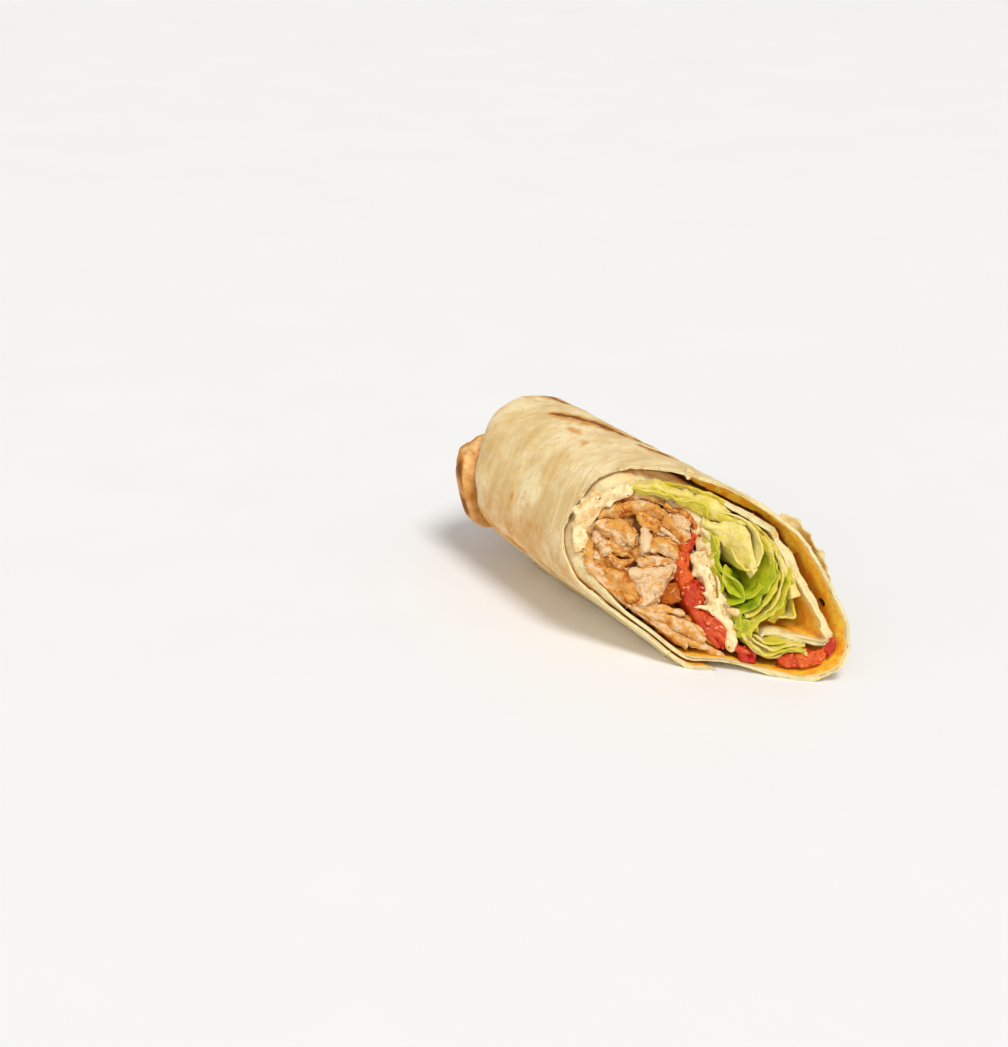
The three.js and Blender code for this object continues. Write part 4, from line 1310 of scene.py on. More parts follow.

# %% [markdown]
# ### Chicken as a material
# Grilled chicken runs from creamy white inside to orange brown outside. It is painted darker, down to a dark
# maroon, the deeper it lies behind the cut, and browner in the hollows of its relief: both are painted shade.
# The tone of each lump starts the colour, and noise stretched along its own grain draws the fibres. The
# grain's coordinates were stored on the points, so each lump's fibres run their own way.

# %% Chicken material
def grilled_chicken():
    r = Recipe("grilled_chicken")
    tone, behind = r.mark("tone"), r.mark("behind")
    in_grain = r.node("ShaderNodeCombineXYZ", None, {
        "X": r.mark("grain_a") * 0.22, "Y": r.mark("grain_b") * 1.7, "Z": r.mark("grain_n") * 1.7,
    })
    fibre = r.node("ShaderNodeTexNoise", None, {"Vector": in_grain, "Scale": 1.0, "Detail": 4.0, "Roughness": 0.6})
    hollow, flank = r.mark("hollow"), r.mark("flank")
    mottle, fine = r.grain(2.4, 4, 0.6), r.grain(0.5, 3, 0.65)
    # painted shade: the farther behind the cut, the more the colour is mixed towards dark maroon
    deep = r.step(behind + (mottle - 0.5) * 2.5, 3.8, 7.4)
    # browned also takes in the painted shade of the hollows
    browned = tone + (mottle - 0.5) * 1.9 + (fibre - 0.5) * 0.7 + hollow * 0.7 + flank * 0.3 - 0.26
    white = r.mix(fibre, tint(222, 172, 124), tint(253, 229, 184))
    tan = r.mix(fibre, tint(204, 114, 22), tint(248, 196, 96))
    brown = r.mix(fibre, tint(146, 58, 4), tint(222, 122, 20))
    colour = r.mix(r.step(browned, 0.1, 0.5), white, tan)
    colour = r.mix(r.step(browned, 0.6, 1.2), colour, brown)
    # painted shade: dark maroon by depth behind the cut
    colour = r.mix(deep * 0.92, colour, tint(104, 30, 8))
    flecks = r.step(r.grain(0.8, 1), 0.7, 0.76)
    colour = r.mix(flecks * 0.5, colour, tint(120, 58, 18))
    wet = r.step(r.grain(3.5, 2), 0.45, 0.6)
    return r.cook(
        Base_Color=colour, Roughness=0.5 - wet * 0.2, Coat_Weight=wet * 0.35, Coat_Roughness=0.2,
        Specular_IOR_Level=0.25, Subsurface_Weight=0.1, Subsurface_Radius=(1.0, 0.4, 0.15),
        Subsurface_Scale=0.0014, Normal=r.bump(fibre * 1.0 + fine * 0.4 + mottle * 0.3, 0.6, 1.0),
    )


chicken_look = grilled_chicken()
serve(chicken, chicken_look, "chicken", "chicken")
serve(chicken_behind, chicken_look, "chicken", "chicken")

# %% [markdown]
# ## Tomato
# Slices of tomato lie between the chicken and the lettuce, cut through by the knife. What shows are wet, torn
# bits of flesh on the face, and behind them each slice runs on into the roll.

# %% Slices through the roll
SLICE_STEP = 0.45  # between the points along its line
FRILL_FADE = 7  # a frilled rim runs out over this length behind the cut


def sheet_through(shells, line, thick, recess, frill=0.0, rumple=0.3, seed=0, rows=40, **marks):
    """A slice or leaf that runs from recess mm behind the cut back through the roll, drawn as a line on the face."""
    middle = spaced(smooth_line(line), SLICE_STEP)
    side = left_of(np.gradient(middle, axis=0))
    t = lengths(middle)
    frayed = recess + 0.7 * wander(on_line(t), 2.2, seed + 1) * (frill > 0)
    back_end = rear_depth(middle[:, 0], middle[:, 1])
    thin = thick * np.clip(np.sin(np.linspace(0.12, math.pi - 0.12, len(middle))) ** 0.35, 0.3, 1)
    faces = {1: [], -1: []}
    for share in np.linspace(0, 1, rows) ** 2.4:
        depth = lerp(frayed, back_end, share)
        where = on_sheet(t, depth)
        ripple = wander(where, (3.6, 7, 1), seed) + 0.5 * wander(where, (1.7, 4, 1), seed + 2)
        wave = frill * np.exp(-(depth - recess) / FRILL_FADE) * ripple + rumple * wander_up(where, 9, seed + 3)
        for way in faces:
            flat = middle + side * (wave + way * thin / 2)[:, None]
            faces[way].append(np.column_stack([flat, depth]))
    top, bottom = np.array(faces[1]), np.array(faces[-1])
    rim = (top[:1] + bottom[:1]) / 2 - [0, 0, thick * 0.3]
    spot = np.concatenate([top[::-1], rim, bottom]).transpose(1, 0, 2)
    shells.loft(food(in_the_bread(spot)), **worked_out(marks, spot))


TOMATO_SLICES = {  # slice: line on the cut face, thickness, how far behind the cut it starts
    "middle": (
        [(-8, 6.4), (-7.6, 1.4), (-5.4, -3.6), (-0.6, -8.2), (5.2, -12.2), (11, -15.4), (16, -17.4)], 3.0, 2.5,
    ),
    "end": ([(17.8, -15.4), (21.2, -15), (24.4, -14.3)], 2.0, 2.0),
    "corner": ([(32.6, -11), (35.6, -9), (38.4, -6.7), (40.6, -4.7)], 1.9, 2.5),
}
TOMATO_FLESH = {  # slice: its bits of flesh as outline (a, b), front, thickness, ripeness
    "middle": [
        ([(-13, 3.6), (-12.6, 6.6), (-9.5, 7.2), (-7.3, 5), (-8.4, 2), (-11.4, 1.3)], 0.5, 4, 0.35),
        ([(-10.6, 1), (-7.6, 1.6), (-5.8, -2.4), (-2.6, -4.6), (-4.4, -8.2), (-8.8, -4)], 1.0, 4, 0.3),
        ([(-4.4, -8), (-1.2, -3.4), (3, -8.6), (4.6, -11), (1.5, -12.2), (-2, -11.2)], 0.5, 4, 0.6),
        ([(-1.5, -4), (1, -4), (5, -6.5), (5.5, -8.5), (3, -8.4), (0, -6.5)], 1.8, 3, 1.1),
        ([(1.5, -11.5), (7, -10), (12, -11), (15, -13.4), (18, -16.4), (15, -17.6), (10, -16), (5.5, -14.4)],
         0.9, 4, 0.45),
    ],
    "end": [([(18, -15.4), (20.5, -13.3), (25, -12.9), (25.8, -14.8), (23.5, -17.2), (20.2, -17.4)], 0.8, 4, 1.15)],
    "corner": [
        ([(28, -13.2), (31.5, -9.6), (34.5, -6.8), (37.5, -6.4), (41, -3), (41, -8), (36, -11.8), (31, -14)],
         1.0, 3.4, 0.5),
        ([(34, -8.5), (37.5, -5.2), (40.6, -1.6), (42.6, -1.4), (45.6, -3), (41.5, -8.6), (37, -10.8)], 0.9, 4.0, 0.1),
        ([(40, -2), (40.8, 1.6), (44.6, 1.6), (46.4, -0.8), (44.8, -3), (42, -3)], 0.8, 3.4, 0.65),
    ],
}


def tomato_slice(name):
    flesh = Shells()
    line, thick, recess = TOMATO_SLICES[name]
    sheet_through(flesh, line, thick, recess, seed=len(name), ripe=0.7)
    for seed, (outline, front, depth, ripe) in enumerate(TOMATO_FLESH[name]):
        lump(flesh, outline, front, depth, cuts=4, dents=0.95, fibres=0.45, tilt=0.15, seed=seed + 20, ripe=ripe)
    return flesh.build("tomato_" + name)


def ripe_tomato():
    r = Recipe("ripe_tomato")
    ripe, hollow, cells, clouds = r.mark("ripe"), r.mark("hollow"), r.grain(1.1, 3), r.grain(2.6, 3, 0.6)
    # painted shade: the hollows of the flesh are painted a deeper red
    depth = ripe + (clouds - 0.5) * 1.1 + (cells - 0.5) * 0.4 + (hollow - 0.3) * 0.6
    colour = r.mix(r.step(depth, 0.1, 0.75), tint(226, 94, 12), tint(194, 42, 2))
    colour = r.mix(r.step(depth, 0.85, 1.3), colour, tint(172, 8, 2))
    colour = r.mix(r.step(cells, 0.58, 0.72) * 0.6, colour, tint(240, 112, 34))
    return r.cook(
        Base_Color=colour, Roughness=0.32, Coat_Weight=0.3, Coat_Roughness=0.07, Specular_IOR_Level=0.3,
        Subsurface_Weight=0.1, Subsurface_Radius=(1.0, 0.2, 0.05), Subsurface_Scale=0.0014,
        Normal=r.bump(cells * 0.9 + r.grain(0.45, 2) * 0.5 + clouds * 0.4, 0.6, 0.9),
    )


tomato_look = ripe_tomato()
for name in TOMATO_SLICES:
    serve(tomato_slice(name), tomato_look, "tomato", "tomato_slice_" + name)

# %% [markdown]
# ## Lettuce
# A leaf is a thin sheet, pale and stiff near its rib, green and ruffled at its rim. Some leaves run through the
# roll and show as wavy lines on the cut. Others have folded over at the cut and face us as crumpled patches.

# %% Leaves that run through the roll, and their patches on the face
LEAF_THICKNESS = 0.75
LEAF_RECESS, OUTER_LEAF_RECESS = 0.6, 6.5  # how far behind the cut a leaf starts
LEAVES_THROUGH = {  # leaf: lines on the cut face, with frill and how green they are
    "top": [([(-34, 7.6), (-30, 11), (-24.4, 13), (-18, 14.2), (-11, 15.6), (-8, 13.4)], 0.9, 0.35)],
    "pale": [
        ([(-5.6, 17), (0, 17.8), (6, 17.2), (10.6, 13.2), (12.6, 8.6), (10.6, 5.6), (6.4, 6.6), (2.4, 9)], 0.6, 0.12),
    ],
    "heart": [([(-5.4, 10.6), (-1.6, 7.4), (1.6, 3.8), (6.2, 2), (10.6, 1.2), (13.4, -1.8), (10.4, -5)], 0.7, 0.75)],
    "green": [([(14.2, 14), (17, 9.4), (18.4, 4), (17.8, -1.4), (15.2, -5.6), (16.4, -9.2)], 0.8, 0.85)],
    "rib": [([(20.6, 12.6), (23.4, 7.6), (24.4, 2), (22.6, -2.6), (20.4, -6.6), (20.4, -10.4)], 0.8, 0.45)],
    "outer": [([(25, 9.4), (30.4, 4.6), (32.6, 1), (28.2, -1.6), (25.4, -3.4)], 0.5, 0.2)],
    "low": [
        ([(21, -12), (24.6, -12.4), (28.4, -11.7), (31.2, -8.4), (34, -6.5), (36.8, -5.3)], 0.6, 0.4),
        ([(21.4, -10.6), (25, -11), (28.6, -10), (31.4, -7), (34, -5.2)], 0.7, 0.2),
        ([(22, -9.2), (25.4, -9.6), (28.4, -8.4), (30.6, -5.8)], 0.7, 0.3),
    ],
}
LEAF_PATCHES = {  # leaf: guide lines with depths, crumpling, green at the first and last guide
    "top": [
        ([([(-34, 12.6), (-28, 15.4), (-21, 18), (-14, 19.6), (-7, 20.4)], 3.4, 1.6),
          ([(-33, 10.4), (-27, 13), (-20.6, 15.4), (-13.6, 17), (-7, 17.8)], 4.6)],
         0.6, (0.35, 0.5)),
        ([([(-38, 10), (-36.5, 12.5), (-32.5, 14), (-28.5, 16), (-24, 16.5), (-19, 17.6), (-15, 17.5)], 3.0),
          ([(-37.5, 9), (-34.5, 10.5), (-31, 11.5), (-27.5, 13.5), (-22.5, 14), (-18.5, 15.6), (-14, 16)], 0.8),
          ([(-36, 8), (-33.5, 8.8), (-30, 9), (-26, 11.3), (-22.5, 12), (-19.5, 13.6), (-14, 14)], 2.6)],
         0.75, (0.1, 0.42)),
    ],
    "pale": [
        ([([(-20, 15.5), (-14, 18.8), (-8, 19.2), (-2, 18.2), (3.5, 18.4)], 3.4, 2.4),
          ([(-20, 13.8), (-14.5, 16), (-8, 16.6), (-3, 16.6), (2, 17.4)], 1.0),
          ([(-19, 12.4), (-14, 13.2), (-8, 13.2), (-4, 14.2), (0, 16)], 2.6)],
         0.7, (0.1, 0.3)),
        ([([(-10, 12.6), (-5.5, 14), (-2, 17.6), (3, 16.6), (7.5, 12.6), (12, 7.6)], 2.2, 1.4),
          ([(-9.5, 11.6), (-4.5, 12.4), (0, 13.6), (4.5, 12), (8.2, 9.4), (12, 6)], 0.7),
          ([(-9, 10.6), (-5, 10.2), (-1.5, 9), (2.5, 7), (7, 6.2), (11.4, 4.4)], 1.6, 3.0)],
         0.9, (0.05, 0.12)),
    ],
    "heart": [
        ([([(3.6, 4.4), (4.6, 0.6), (8, -2), (12, -2), (15.2, 0.2), (16, 4.6)], 0.8, 1.2),
          ([(5.2, 4), (6.4, 1.4), (9, 0), (11.8, 0.2), (13.8, 1.8), (14, 4.6)], 3.2),
          ([(7, 3.8), (8.2, 2.4), (10, 1.6), (11.4, 2), (12, 3.2), (11.8, 4.6)], 7.5)],
         0.5, (0.5, 1.0)),
        ([([(-6.5, 9), (-3, 9.6), (-0.6, 7), (-1.4, 3.6)], 1.0),
          ([(-6.5, 7), (-4, 6.6), (-2.6, 5), (-3, 3.4)], 2.4)],
         0.5, (0.25, 0.45)),
        ([([(-1.5, 2.6), (1, 2.2), (4.4, 0.4), (6.6, -2.6), (6, -5.4)], 1.4),
          ([(-1.5, 0), (2, -0.4), (4, -2.2), (4.6, -4.6), (4.4, -5.6)], 2.8)],
         0.6, (0.7, 0.5)),
    ],
    "green": [
        ([([(6, 17.6), (12, 15.4), (17.4, 10.4), (20, 4), (18.6, -2.4), (16.2, -6)], 0.7),
          ([(8, 15), (12.6, 12.6), (16.2, 8.6), (18, 3.6), (17, -1.8), (14.8, -5)], 2.2),
          ([(9.4, 12.6), (12.4, 10.2), (14.8, 7.4), (16, 3.2), (15.4, -0.8), (13.4, -4)], 6.0)],
         0.7, (0.35, 0.95)),
        ([([(14.6, -6), (17.6, -7), (19.4, -9.6), (18, -12)], 1.4),
          ([(12.4, -6.6), (13.6, -8.6), (15.4, -10.6), (16.4, -12.4)], 2.6)],
         0.6, (0.85, 0.6)),
    ],
    "rib": [
        ([([(12, 16.4), (16.6, 13), (20, 9), (21.4, 4), (20.8, -2), (18.4, -6)], 0.7),
          ([(11.2, 14.8), (15.2, 12), (18.6, 8), (20, 3.6), (19.4, -1.8), (17.2, -5.4)], 3.2)],
         0.5, (0.2, 0.7)),
        ([([(14.6, -8.2), (17, -6.4), (20.2, -6.2), (21, -8)], 1.0),
          ([(14.6, -10.6), (17.4, -10.4), (19.6, -9.8), (20.4, -9)], 2.2)],
         0.6, (0.55, 0.4)),
        ([([(21.4, 5.6), (23, 2), (22.4, -3.6)], 2.0), ([(23, 5.4), (25, 1.6), (24, -3.2)], 5.0)],
         0.4, (0.3, 0.5)),
    ],
    "outer": [
        ([([(-9, 17.2), (-3, 18.2), (4, 18.6), (11, 17.2), (17.4, 13.8), (23, 9.8)], 1.8, 1.4),
          ([(-9, 16), (-3, 16.8), (4, 17), (10.6, 15.4), (16.6, 12), (22, 8)], 3.0, 2.4),
          ([(-8.4, 15.4), (-3, 15.6), (3.4, 15.4), (9.6, 13.6), (15.4, 10.4), (20.6, 6.8)], 4.6)],
         0.6, (0.3, 0.5)),
        ([([(8, 17.6), (13, 17.2), (18, 15), (22.6, 11.4), (26.4, 7.4)], 2.6, 3.0),
          ([(9, 15.8), (13.2, 15.2), (17.6, 12.6), (21.6, 9.4), (25.4, 6)], 0.9, 1.6),
          ([(9.4, 14.4), (13, 13.2), (16.6, 10.8), (20.4, 7.8), (24, 5)], 2.4, 3.4)],
         0.65, (0.12, 0.0)),
    ],
    "low": [
        ([([(17.6, -11), (22, -12.8), (26.4, -13), (30, -11.6), (32, -8.4), (35, -6.4), (38, -6.4)], 0.9),
          ([(18.4, -9.8), (22.6, -11.2), (26.6, -11.4), (29.2, -10.2), (31, -7.6), (34.4, -5.4), (37, -5.4)], 1.8)],
         0.35, (0.3, 0.1)),
        ([([(19, -10.6), (23, -12), (27, -12), (30, -9.8), (33, -7), (36.4, -5.4)], 1.5),
          ([(20, -9.8), (23.4, -10.8), (27, -10.8), (29.4, -8.6), (32.6, -6), (36, -4.4)], 2.6)],
         0.35, (0.15, 0.4)),
        ([([(21.6, -10.8), (25.4, -11.4), (28.6, -9.4), (31.6, -6.6), (35.4, -4.4)], 2.0),
          ([(22, -10), (25.6, -10.4), (28.2, -8.4), (31.2, -5.6), (35, -3.6)], 3.2)],
         0.35, (0.1, 0.3)),
        ([([(25.6, -9.8), (28.4, -7.8), (31, -5.4), (34, -3.8)], 2.6),
          ([(25.8, -9), (28, -7), (30.8, -4.6), (33.8, -3)], 4.2)],
         0.35, (0.05, 0.3)),
    ],
}


def lettuce(name):
    leaf = Shells()
    recess = OUTER_LEAF_RECESS if name == "outer" else LEAF_RECESS
    for seed, (line, frill, green) in enumerate(LEAVES_THROUGH[name]):
        sheet_through(
            leaf, line, LEAF_THICKNESS, recess, frill, 0.6, seed=seed + 3 * len(name), rows=80,
            green=lambda spot: green + 0.25 * wander_up(spot, 6, 5),
            vein=lambda spot: ridges(spot, (2.6, 2.6, 5), 6, 7),
        )
    for seed, (guides, rumple, green) in enumerate(LEAF_PATCHES[name]):
        leaf_patch(leaf, guides, rumple, seed=10 * seed + 7 * len(name), tones=green)
    return leaf.build("lettuce_leaf_" + name)


# %% [markdown]
# ### Lettuce as a material
# Lettuce is wet and lets some light through, so the leaf gets a thin clear coat and some scattering. Its colour
# follows the number on its points, from creamy white to deep green, and fine veins branch over it.

# %% Lettuce material
VEIN_MESH = 2.2  # size of the meshes that the fine veins make


def crisp_lettuce():
    r = Recipe("crisp_lettuce")
    green, vein, clouds = r.mark("green"), r.mark("vein"), r.grain(3.0, 4)
    meshes = {"Vector": r.space, "Scale": 1 / (VEIN_MESH * MM)}
    veins = r.node("ShaderNodeTexVoronoi", {"feature": "DISTANCE_TO_EDGE"}, meshes)
    fine_vein = 1 - r.step(veins, 0.0, 0.1)
    level = green + (clouds - 0.5) * 0.6 - vein * 0.14 - fine_vein * 0.06
    colour = r.mix(r.step(level, 0.05, 0.32), tint(232, 212, 124), tint(216, 198, 62))
    colour = r.mix(r.step(level, 0.3, 0.7), colour, tint(178, 186, 26))
    colour = r.mix(r.step(level, 0.68, 1.15), colour, tint(82, 118, 8))
    relief = vein * 0.5 + fine_vein * 0.25 + clouds * 0.5 + r.grain(0.6, 2) * 0.15
    return r.cook(
        Base_Color=colour, Roughness=0.4, Coat_Weight=0.25, Coat_Roughness=0.2, Specular_IOR_Level=0.3,
        Subsurface_Weight=0.22, Subsurface_Radius=(0.9, 1.0, 0.2), Subsurface_Scale=0.0016,
        Normal=r.bump(relief, 0.35, 0.7),
    )


lettuce_look = crisp_lettuce()
for name in LEAF_PATCHES:
    serve(lettuce(name), lettuce_look, "lettuce", "lettuce_leaf_" + name)

# %% [markdown]
# ## Dressing
# The dressing is thick and creamy. It clings in smears and blobs between the tomato and the lettuce and lines
# the bread on the left. Separate blobs would look like pebbles, so a voxel remesh melts them into one.

# %% Smears and blobs
DRESSING_LINE = [(-2.5, 3.2), (-0.6, 0.5), (3.6, -3.2), (8.4, -7.2), (13.2, -10.8), (16.4, -12.8)]
DRESSING_BLOBS = [  # outline (a, b), front, thickness
    ([(-7.4, 1.6), (-4.8, 3.8), (-2.4, 2.8), (-1.6, 0.6), (-3.4, -0.8), (-6, -0.4)], 0.5, 3),
    ([(-5.4, 0), (-2.8, 0.8), (-0.4, -0.6), (-1.4, -2.8), (-3.6, -4), (-5, -2)], 0.8, 3),
    ([(-2, -1.6), (0.6, -1.2), (3, -3.2), (4.8, -5.6), (3.4, -6), (0.4, -4)], 0.9, 2.4),
    ([(-3, 4.6), (-0.6, 4.2), (1, 2), (0.2, 0.6), (-1.6, 2)], 1.6, 2.4),
    ([(-44.5, -4), (-42, -0.6), (-39.2, -1.6), (-37, -5.4), (-37.6, -9), (-40.4, -10.8), (-43, -8)], 1.0, 3),
    ([(13.2, -11), (16, -11.4), (18.4, -14.6), (18, -16.8), (15.6, -15.8), (14, -13)], 0.5, 2.4),
    ([(8, -10.4), (11, -8.6), (14, -9.4), (14.6, -11.4), (11, -11.4)], 0.7, 2.2),
    ([(10.4, -6.6), (12.6, -5.2), (14.6, -5.8), (14.2, -7), (12, -7)], 1.0, 2.0),
]
LIP_BLOBS = [  # these lie on the bread's torn lip: outline (a, b), front, thickness
    ([(-41.6, -9), (-39, -8), (-36.6, -10), (-35.4, -14), (-37.4, -15.6), (-40, -13)], -0.3, 2.0),
    ([(-38.4, 5.4), (-36.6, 8.6), (-33.4, 10), (-31.4, 8.4), (-33.4, 6), (-36, 4.6)], -0.2, 2.2),
]
LIP_SMEARS = [  # crumpled smears on the lip and beside the tomato, as guide lines with depths
    [([(-43.6, -9), (-44.4, -4.4), (-43.6, 0), (-41.4, 3.4), (-38.6, 6.4), (-35, 9.4)], 0.3),
     ([(-41.8, -10.4), (-41.8, -5), (-41, -0.6), (-39, 2.6), (-36.6, 5.4), (-33.6, 8)], -0.8),
     ([(-38.2, -11.6), (-37.6, -6), (-37.4, -2.2), (-36.6, 0.8), (-34.8, 3.6), (-32.6, 6.4)], 0.9)],
    [([(-7.2, 2.4), (-4.4, -0.6), (-1.4, -3)], 0.9),
     ([(-5.6, 3.6), (-2.8, 0.8), (0, -1.6)], 0.0),
     ([(-3.8, 4.6), (-1.4, 2.2), (1.2, 0)], 1.3)],
    [([(1.6, -6.4), (4.6, -8.8), (8, -10.6)], 0.8),
     ([(3, -5.2), (6.2, -7.4), (9.6, -9.4)], 0.3),
     ([(4.4, -4.6), (7.4, -6.4), (10.6, -8.2)], 1.5)],
]
DRESSING_BACKING = [  # a thin coat behind the gaps, as guide lines with depths
    [([(-14, 9), (-9.5, 6.5), (-6, 2), (-3, -3), (2, -8), (8, -12), (14, -15)], 3.0),
     ([(-9, 12.4), (-5, 9), (-2.4, 5), (0, 0.4), (4, -5), (9.6, -9.6), (15.6, -13)], 2.4),
     ([(-5, 14), (-1.6, 9.6), (0.4, 5), (3, 0.4), (6.6, -2.6), (12, -6), (17, -11)], 4.4)],
    [([(-38, 7), (-33, 10.4), (-26, 12.6), (-18, 13.8), (-10, 13)], 3.6),
     ([(-36, 4), (-31, 7.6), (-24.6, 9.6), (-17, 10.4), (-9.6, 9)], 3.0)],
]
DRESSING_SMEARS = [  # line (a, b), width, front
    ([(-40, 4.5), (-41, 0.5), (-40, -4.5), (-39.5, -8.5), (-37, -13), (-33.5, -15.5), (-28.5, -17.5)], 2.6, 1.8),
    ([(1.5, -11.2), (5, -9.6), (8.6, -9.8), (12, -9.6)], 1.2, 0.4),
    ([(13, -9.8), (15, -8), (14.4, -6)], 1.1, 0.7),
    ([(5.2, -3.6), (7.6, -5.8), (9.6, -8.8)], 1.0, 1.0),
    ([(2, 0.4), (4, -1.2), (6.4, -4), (8, -4.6), (10.8, -5.6)], 1.0, 1.4),
    ([(-9, 9.8), (-6.4, 9.4), (-4.4, 8)], 1.2, 0.8),
]
MELT = 0.3  # size of the remesh's cells


def plain(piece):
    """Applies a piece's modifier, so that it is a plain mesh again."""
    graph = bpy.context.evaluated_depsgraph_get()
    mesh = bpy.data.meshes.new_from_object(piece.evaluated_get(graph), depsgraph=graph)
    piece.modifiers.clear()
    old = piece.data
    piece.data = mesh
    bpy.data.meshes.remove(old)
    mesh.name = piece.name
    mesh.polygons.foreach_set("use_smooth", [True] * len(mesh.polygons))
    return piece


def melted(piece, cell):
    """Melts overlapping shells into one skin."""
    remesh = piece.modifiers.new("melt", "REMESH")
    remesh.mode, remesh.voxel_size = "VOXEL", cell * MM
    return plain(piece)


def dressing():
    cream = Shells()
    sheet_through(cream, DRESSING_LINE, 1.8, 1.2, 0.7, 0.5, seed=9)
    for blobs, first_seed, dents, fibres, lay in (
        (DRESSING_BLOBS, 3, 0.8, 0.15, behind_face), (LIP_BLOBS, 13, 0.6, 0.12, on_face),
    ):
        for seed, (outline, front, thick) in enumerate(blobs, first_seed):
            lump(
                cream, outline, front, thick, block=0.8, cuts=0, dents=dents, fibres=fibres, tilt=0.1,
                seed=seed, lay=lay,
            )
    for seed, guides in enumerate(LIP_SMEARS):
        leaf_patch(cream, guides, 1.4, 1.1, seed=seed + 80, step=0.4, ruffle=2.0, lay=on_face)
    for seed, guides in enumerate(DRESSING_BACKING):
        leaf_patch(cream, guides, 0.8, 1.0, seed=seed + 60, step=0.5)
    for seed, (line, width, front) in enumerate(DRESSING_SMEARS):
        strand(cream, line, width, front, dents=0.6, fibres=0.1, seed=seed + 30)
    return melted(cream.build("dressing"), MELT)


def creamy_dressing():
    r = Recipe("creamy_dressing")
    clouds, spice = r.grain(2.4, 3), r.grain(0.7, 1)
    colour = r.mix(r.step(clouds, 0.35, 0.7), tint(246, 226, 176), tint(226, 182, 112))
    colour = r.mix(r.step(spice, 0.68, 0.74) * 0.6, colour, tint(190, 106, 50))
    return r.cook(
        Base_Color=colour, Roughness=0.36, Coat_Weight=0.3, Coat_Roughness=0.15, Specular_IOR_Level=0.3,
        Subsurface_Weight=0.3, Subsurface_Radius=(1.0, 0.8, 0.5), Subsurface_Scale=0.0014,
        Normal=r.bump(clouds * 0.7 + r.grain(0.6, 2) * 0.3, 0.3, 0.5),
    )


dressing_look = creamy_dressing()
cream = serve(dressing(), dressing_look, "dressing", "dressing")

# %% [markdown]
# ## Small things strewn by Geometry Nodes
# Fibres, seeds, crumbs and pepper are many and alike, so one node tree strews them all. It takes a host mesh and
# puts stretched little balls on its faces, more where the host's own number named sprinkle is high. The tree has
# an input for each size, and a fixed seed, so it gives the same grains every time.

# %% The sprinkle tree
def sprinkle_tree():
    tree = bpy.data.node_groups.new("sprinkle", "GeometryNodeTree")
    tree.interface.new_socket("Grains", in_out="OUTPUT", socket_type="NodeSocketGeometry")
    keys = {}
    for name, kind in (
        ("Host", "Geometry"), ("Density", "Float"), ("Length", "Float"), ("Width", "Float"), ("Height", "Float"),
        ("Tilt", "Float"), ("Seed", "Int"), ("Material", "Material"),
    ):
        socket = tree.interface.new_socket(name, in_out="INPUT", socket_type="NodeSocket" + kind)
        keys[name] = socket.identifier
    given = tree.nodes.new("NodeGroupInput").outputs

    def node(kind, settings, inputs, out=0):
        made = tree.nodes.new(kind)
        for name, setting in settings.items():
            setattr(made, name, setting)
        for name, value in inputs.items():
            if isinstance(value, bpy.types.NodeSocket):
                tree.links.new(value, made.inputs[name])
            else:
                made.inputs[name].default_value = value
        return made.outputs[out]

    weight = node("GeometryNodeInputNamedAttribute", {"data_type": "FLOAT"}, {"Name": "sprinkle"})
    density = node("ShaderNodeMath", {"operation": "MULTIPLY"}, {0: weight, 1: given["Density"]})
    points = node(
        "GeometryNodeDistributePointsOnFaces", {},
        {"Mesh": given["Host"], "Density": density, "Seed": given["Seed"]},
    )
    turns = node(
        "FunctionNodeRandomValue", {"data_type": "FLOAT_VECTOR"},
        {0: (-1, -1, 0), 1: (1, 1, 2 * math.pi), "Seed": given["Seed"]},
    )
    tilts = node("ShaderNodeCombineXYZ", {}, {0: given["Tilt"], 1: given["Tilt"], 2: 1.0})
    turns = node("ShaderNodeVectorMath", {"operation": "MULTIPLY"}, {0: turns, 1: tilts})
    turns = node("FunctionNodeEulerToRotation", {}, {0: turns})
    stand = node(
        "FunctionNodeRotateRotation", {"rotation_space": "LOCAL"}, {0: points.node.outputs["Rotation"], 1: turns}
    )
    size = node("FunctionNodeRandomValue", {"data_type": "FLOAT"}, {2: 0.55, 3: 1.3, "Seed": given["Seed"]}, out=1)
    sizes = node("ShaderNodeCombineXYZ", {}, {0: given["Length"], 1: given["Width"], 2: given["Height"]})
    sizes = node("ShaderNodeVectorMath", {"operation": "SCALE"}, {0: sizes, "Scale": size})
    ball = node("GeometryNodeMeshUVSphere", {}, {"Segments": 8, "Rings": 5, "Radius": 0.5})
    grains = node(
        "GeometryNodeInstanceOnPoints", {}, {"Points": points, "Instance": ball, "Rotation": stand, "Scale": sizes}
    )
    grains = node("GeometryNodeRealizeInstances", {}, {0: grains})
    grains = node("GeometryNodeSetMaterial", {}, {0: grains, "Material": given["Material"]})
    tree.links.new(grains, tree.nodes.new("NodeGroupOutput").inputs[0])
    return tree, keys


sprinkles, sprinkle_keys = sprinkle_tree()


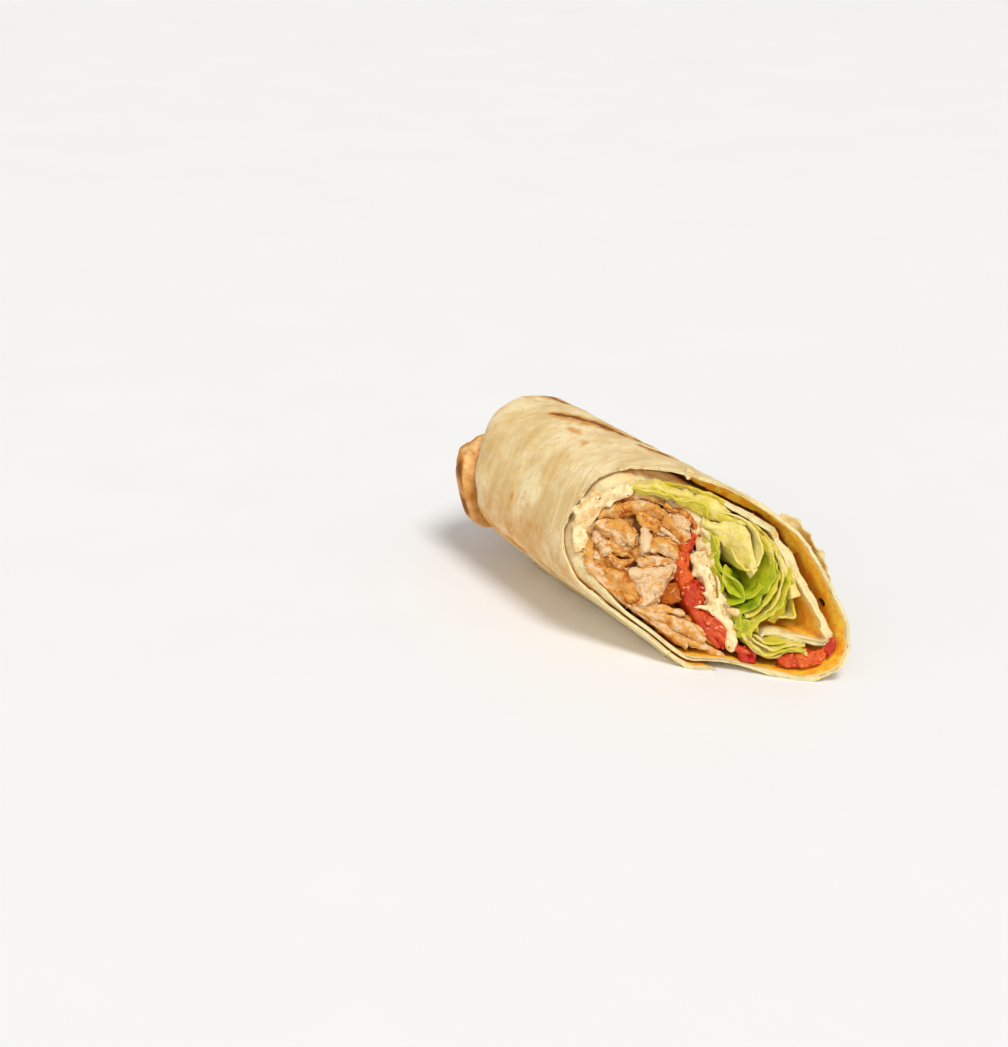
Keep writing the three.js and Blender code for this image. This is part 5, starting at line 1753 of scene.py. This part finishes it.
def sprinkle(name, host, weight, material, **inputs):
    """Strews grains over host where weight is high, and returns them as a piece with a plain mesh."""
    mesh = host.data.copy()
    points = np.empty(len(mesh.vertices) * 3)
    mesh.vertices.foreach_get("co", points)
    points = points.reshape(-1, 3) / MM
    layer = mesh.attributes.new("sprinkle", "FLOAT", "POINT")
    layer.data.foreach_set("value", weight(mesh, points).astype(np.float32))
    piece = bpy.data.objects.new(name, mesh)
    scene.collection.objects.link(piece)
    modifier = piece.modifiers.new("sprinkle", "NODES")
    modifier.node_group = sprinkles
    for key, value in {**inputs, "Material": material}.items():
        modifier[sprinkle_keys[key]] = value
    return plain(piece)


def mark_of(mesh, name):
    values = np.empty(len(mesh.vertices), np.float32)
    mesh.attributes[name].data.foreach_get("value", values)
    return values


def near_cut(points, reach):
    """1 at the cut, 0 from reach mm behind it."""
    x, y, z = points.T
    return 1 - smoothstep(cut_x(y - AXIS_Y, z - REST_DEPTH) - x, 0.5 * reach, reach)


# %% Fibres, seeds, crumbs and pepper
def small_thing(name, dark, light, size, roughness, coat=0.0):
    r = Recipe(name)
    return r.cook(
        Base_Color=r.mix(r.grain(size, 2), tint(*dark), tint(*light)), Roughness=roughness, Coat_Weight=coat,
        Specular_IOR_Level=0.3,
    )


serve(sprinkle(
    "chicken_fibres", chicken, lambda mesh, points: mark_of(mesh, "behind") < 2.6,
    small_thing("chicken_fibre", (210, 124, 30), (248, 206, 132), 2.2, 0.5, 0.2),
    Density=2.2e5, Length=2.6 * MM, Width=0.34 * MM, Height=0.3 * MM, Tilt=0.3, Seed=3,
), chicken_look, "chicken")
serve(sprinkle(
    "tomato_seeds", bpy.data.objects["tomato_middle"], lambda mesh, points: near_cut(points, 5),
    small_thing("tomato_seed", (226, 104, 44), (246, 184, 124), 1.5, 0.3, 0.5),
    Density=5.5e4, Length=1.4 * MM, Width=0.8 * MM, Height=0.5 * MM, Tilt=0.4, Seed=5,
), tomato_look, "tomato")
serve(sprinkle(
    "bread_crumbs", sheet, lambda mesh, points: (mark_of(mesh, "crumb") > 0.9) * near_cut(points, 9),
    small_thing("bread_crumb", (226, 176, 100), (255, 240, 196), 1.0, 0.8),
    Density=2.2e5, Length=0.7 * MM, Width=0.5 * MM, Height=0.4 * MM, Tilt=0.5, Seed=7,
), bread, "flatbread")
serve(sprinkle(
    "dressing_pepper", cream, lambda mesh, points: near_cut(points, 6),
    small_thing("pepper", (70, 34, 12), (150, 84, 30), 0.8, 0.6),
    Density=6e4, Length=0.55 * MM, Width=0.4 * MM, Height=0.2 * MM, Tilt=0.3, Seed=9,
), dressing_look, "dressing")
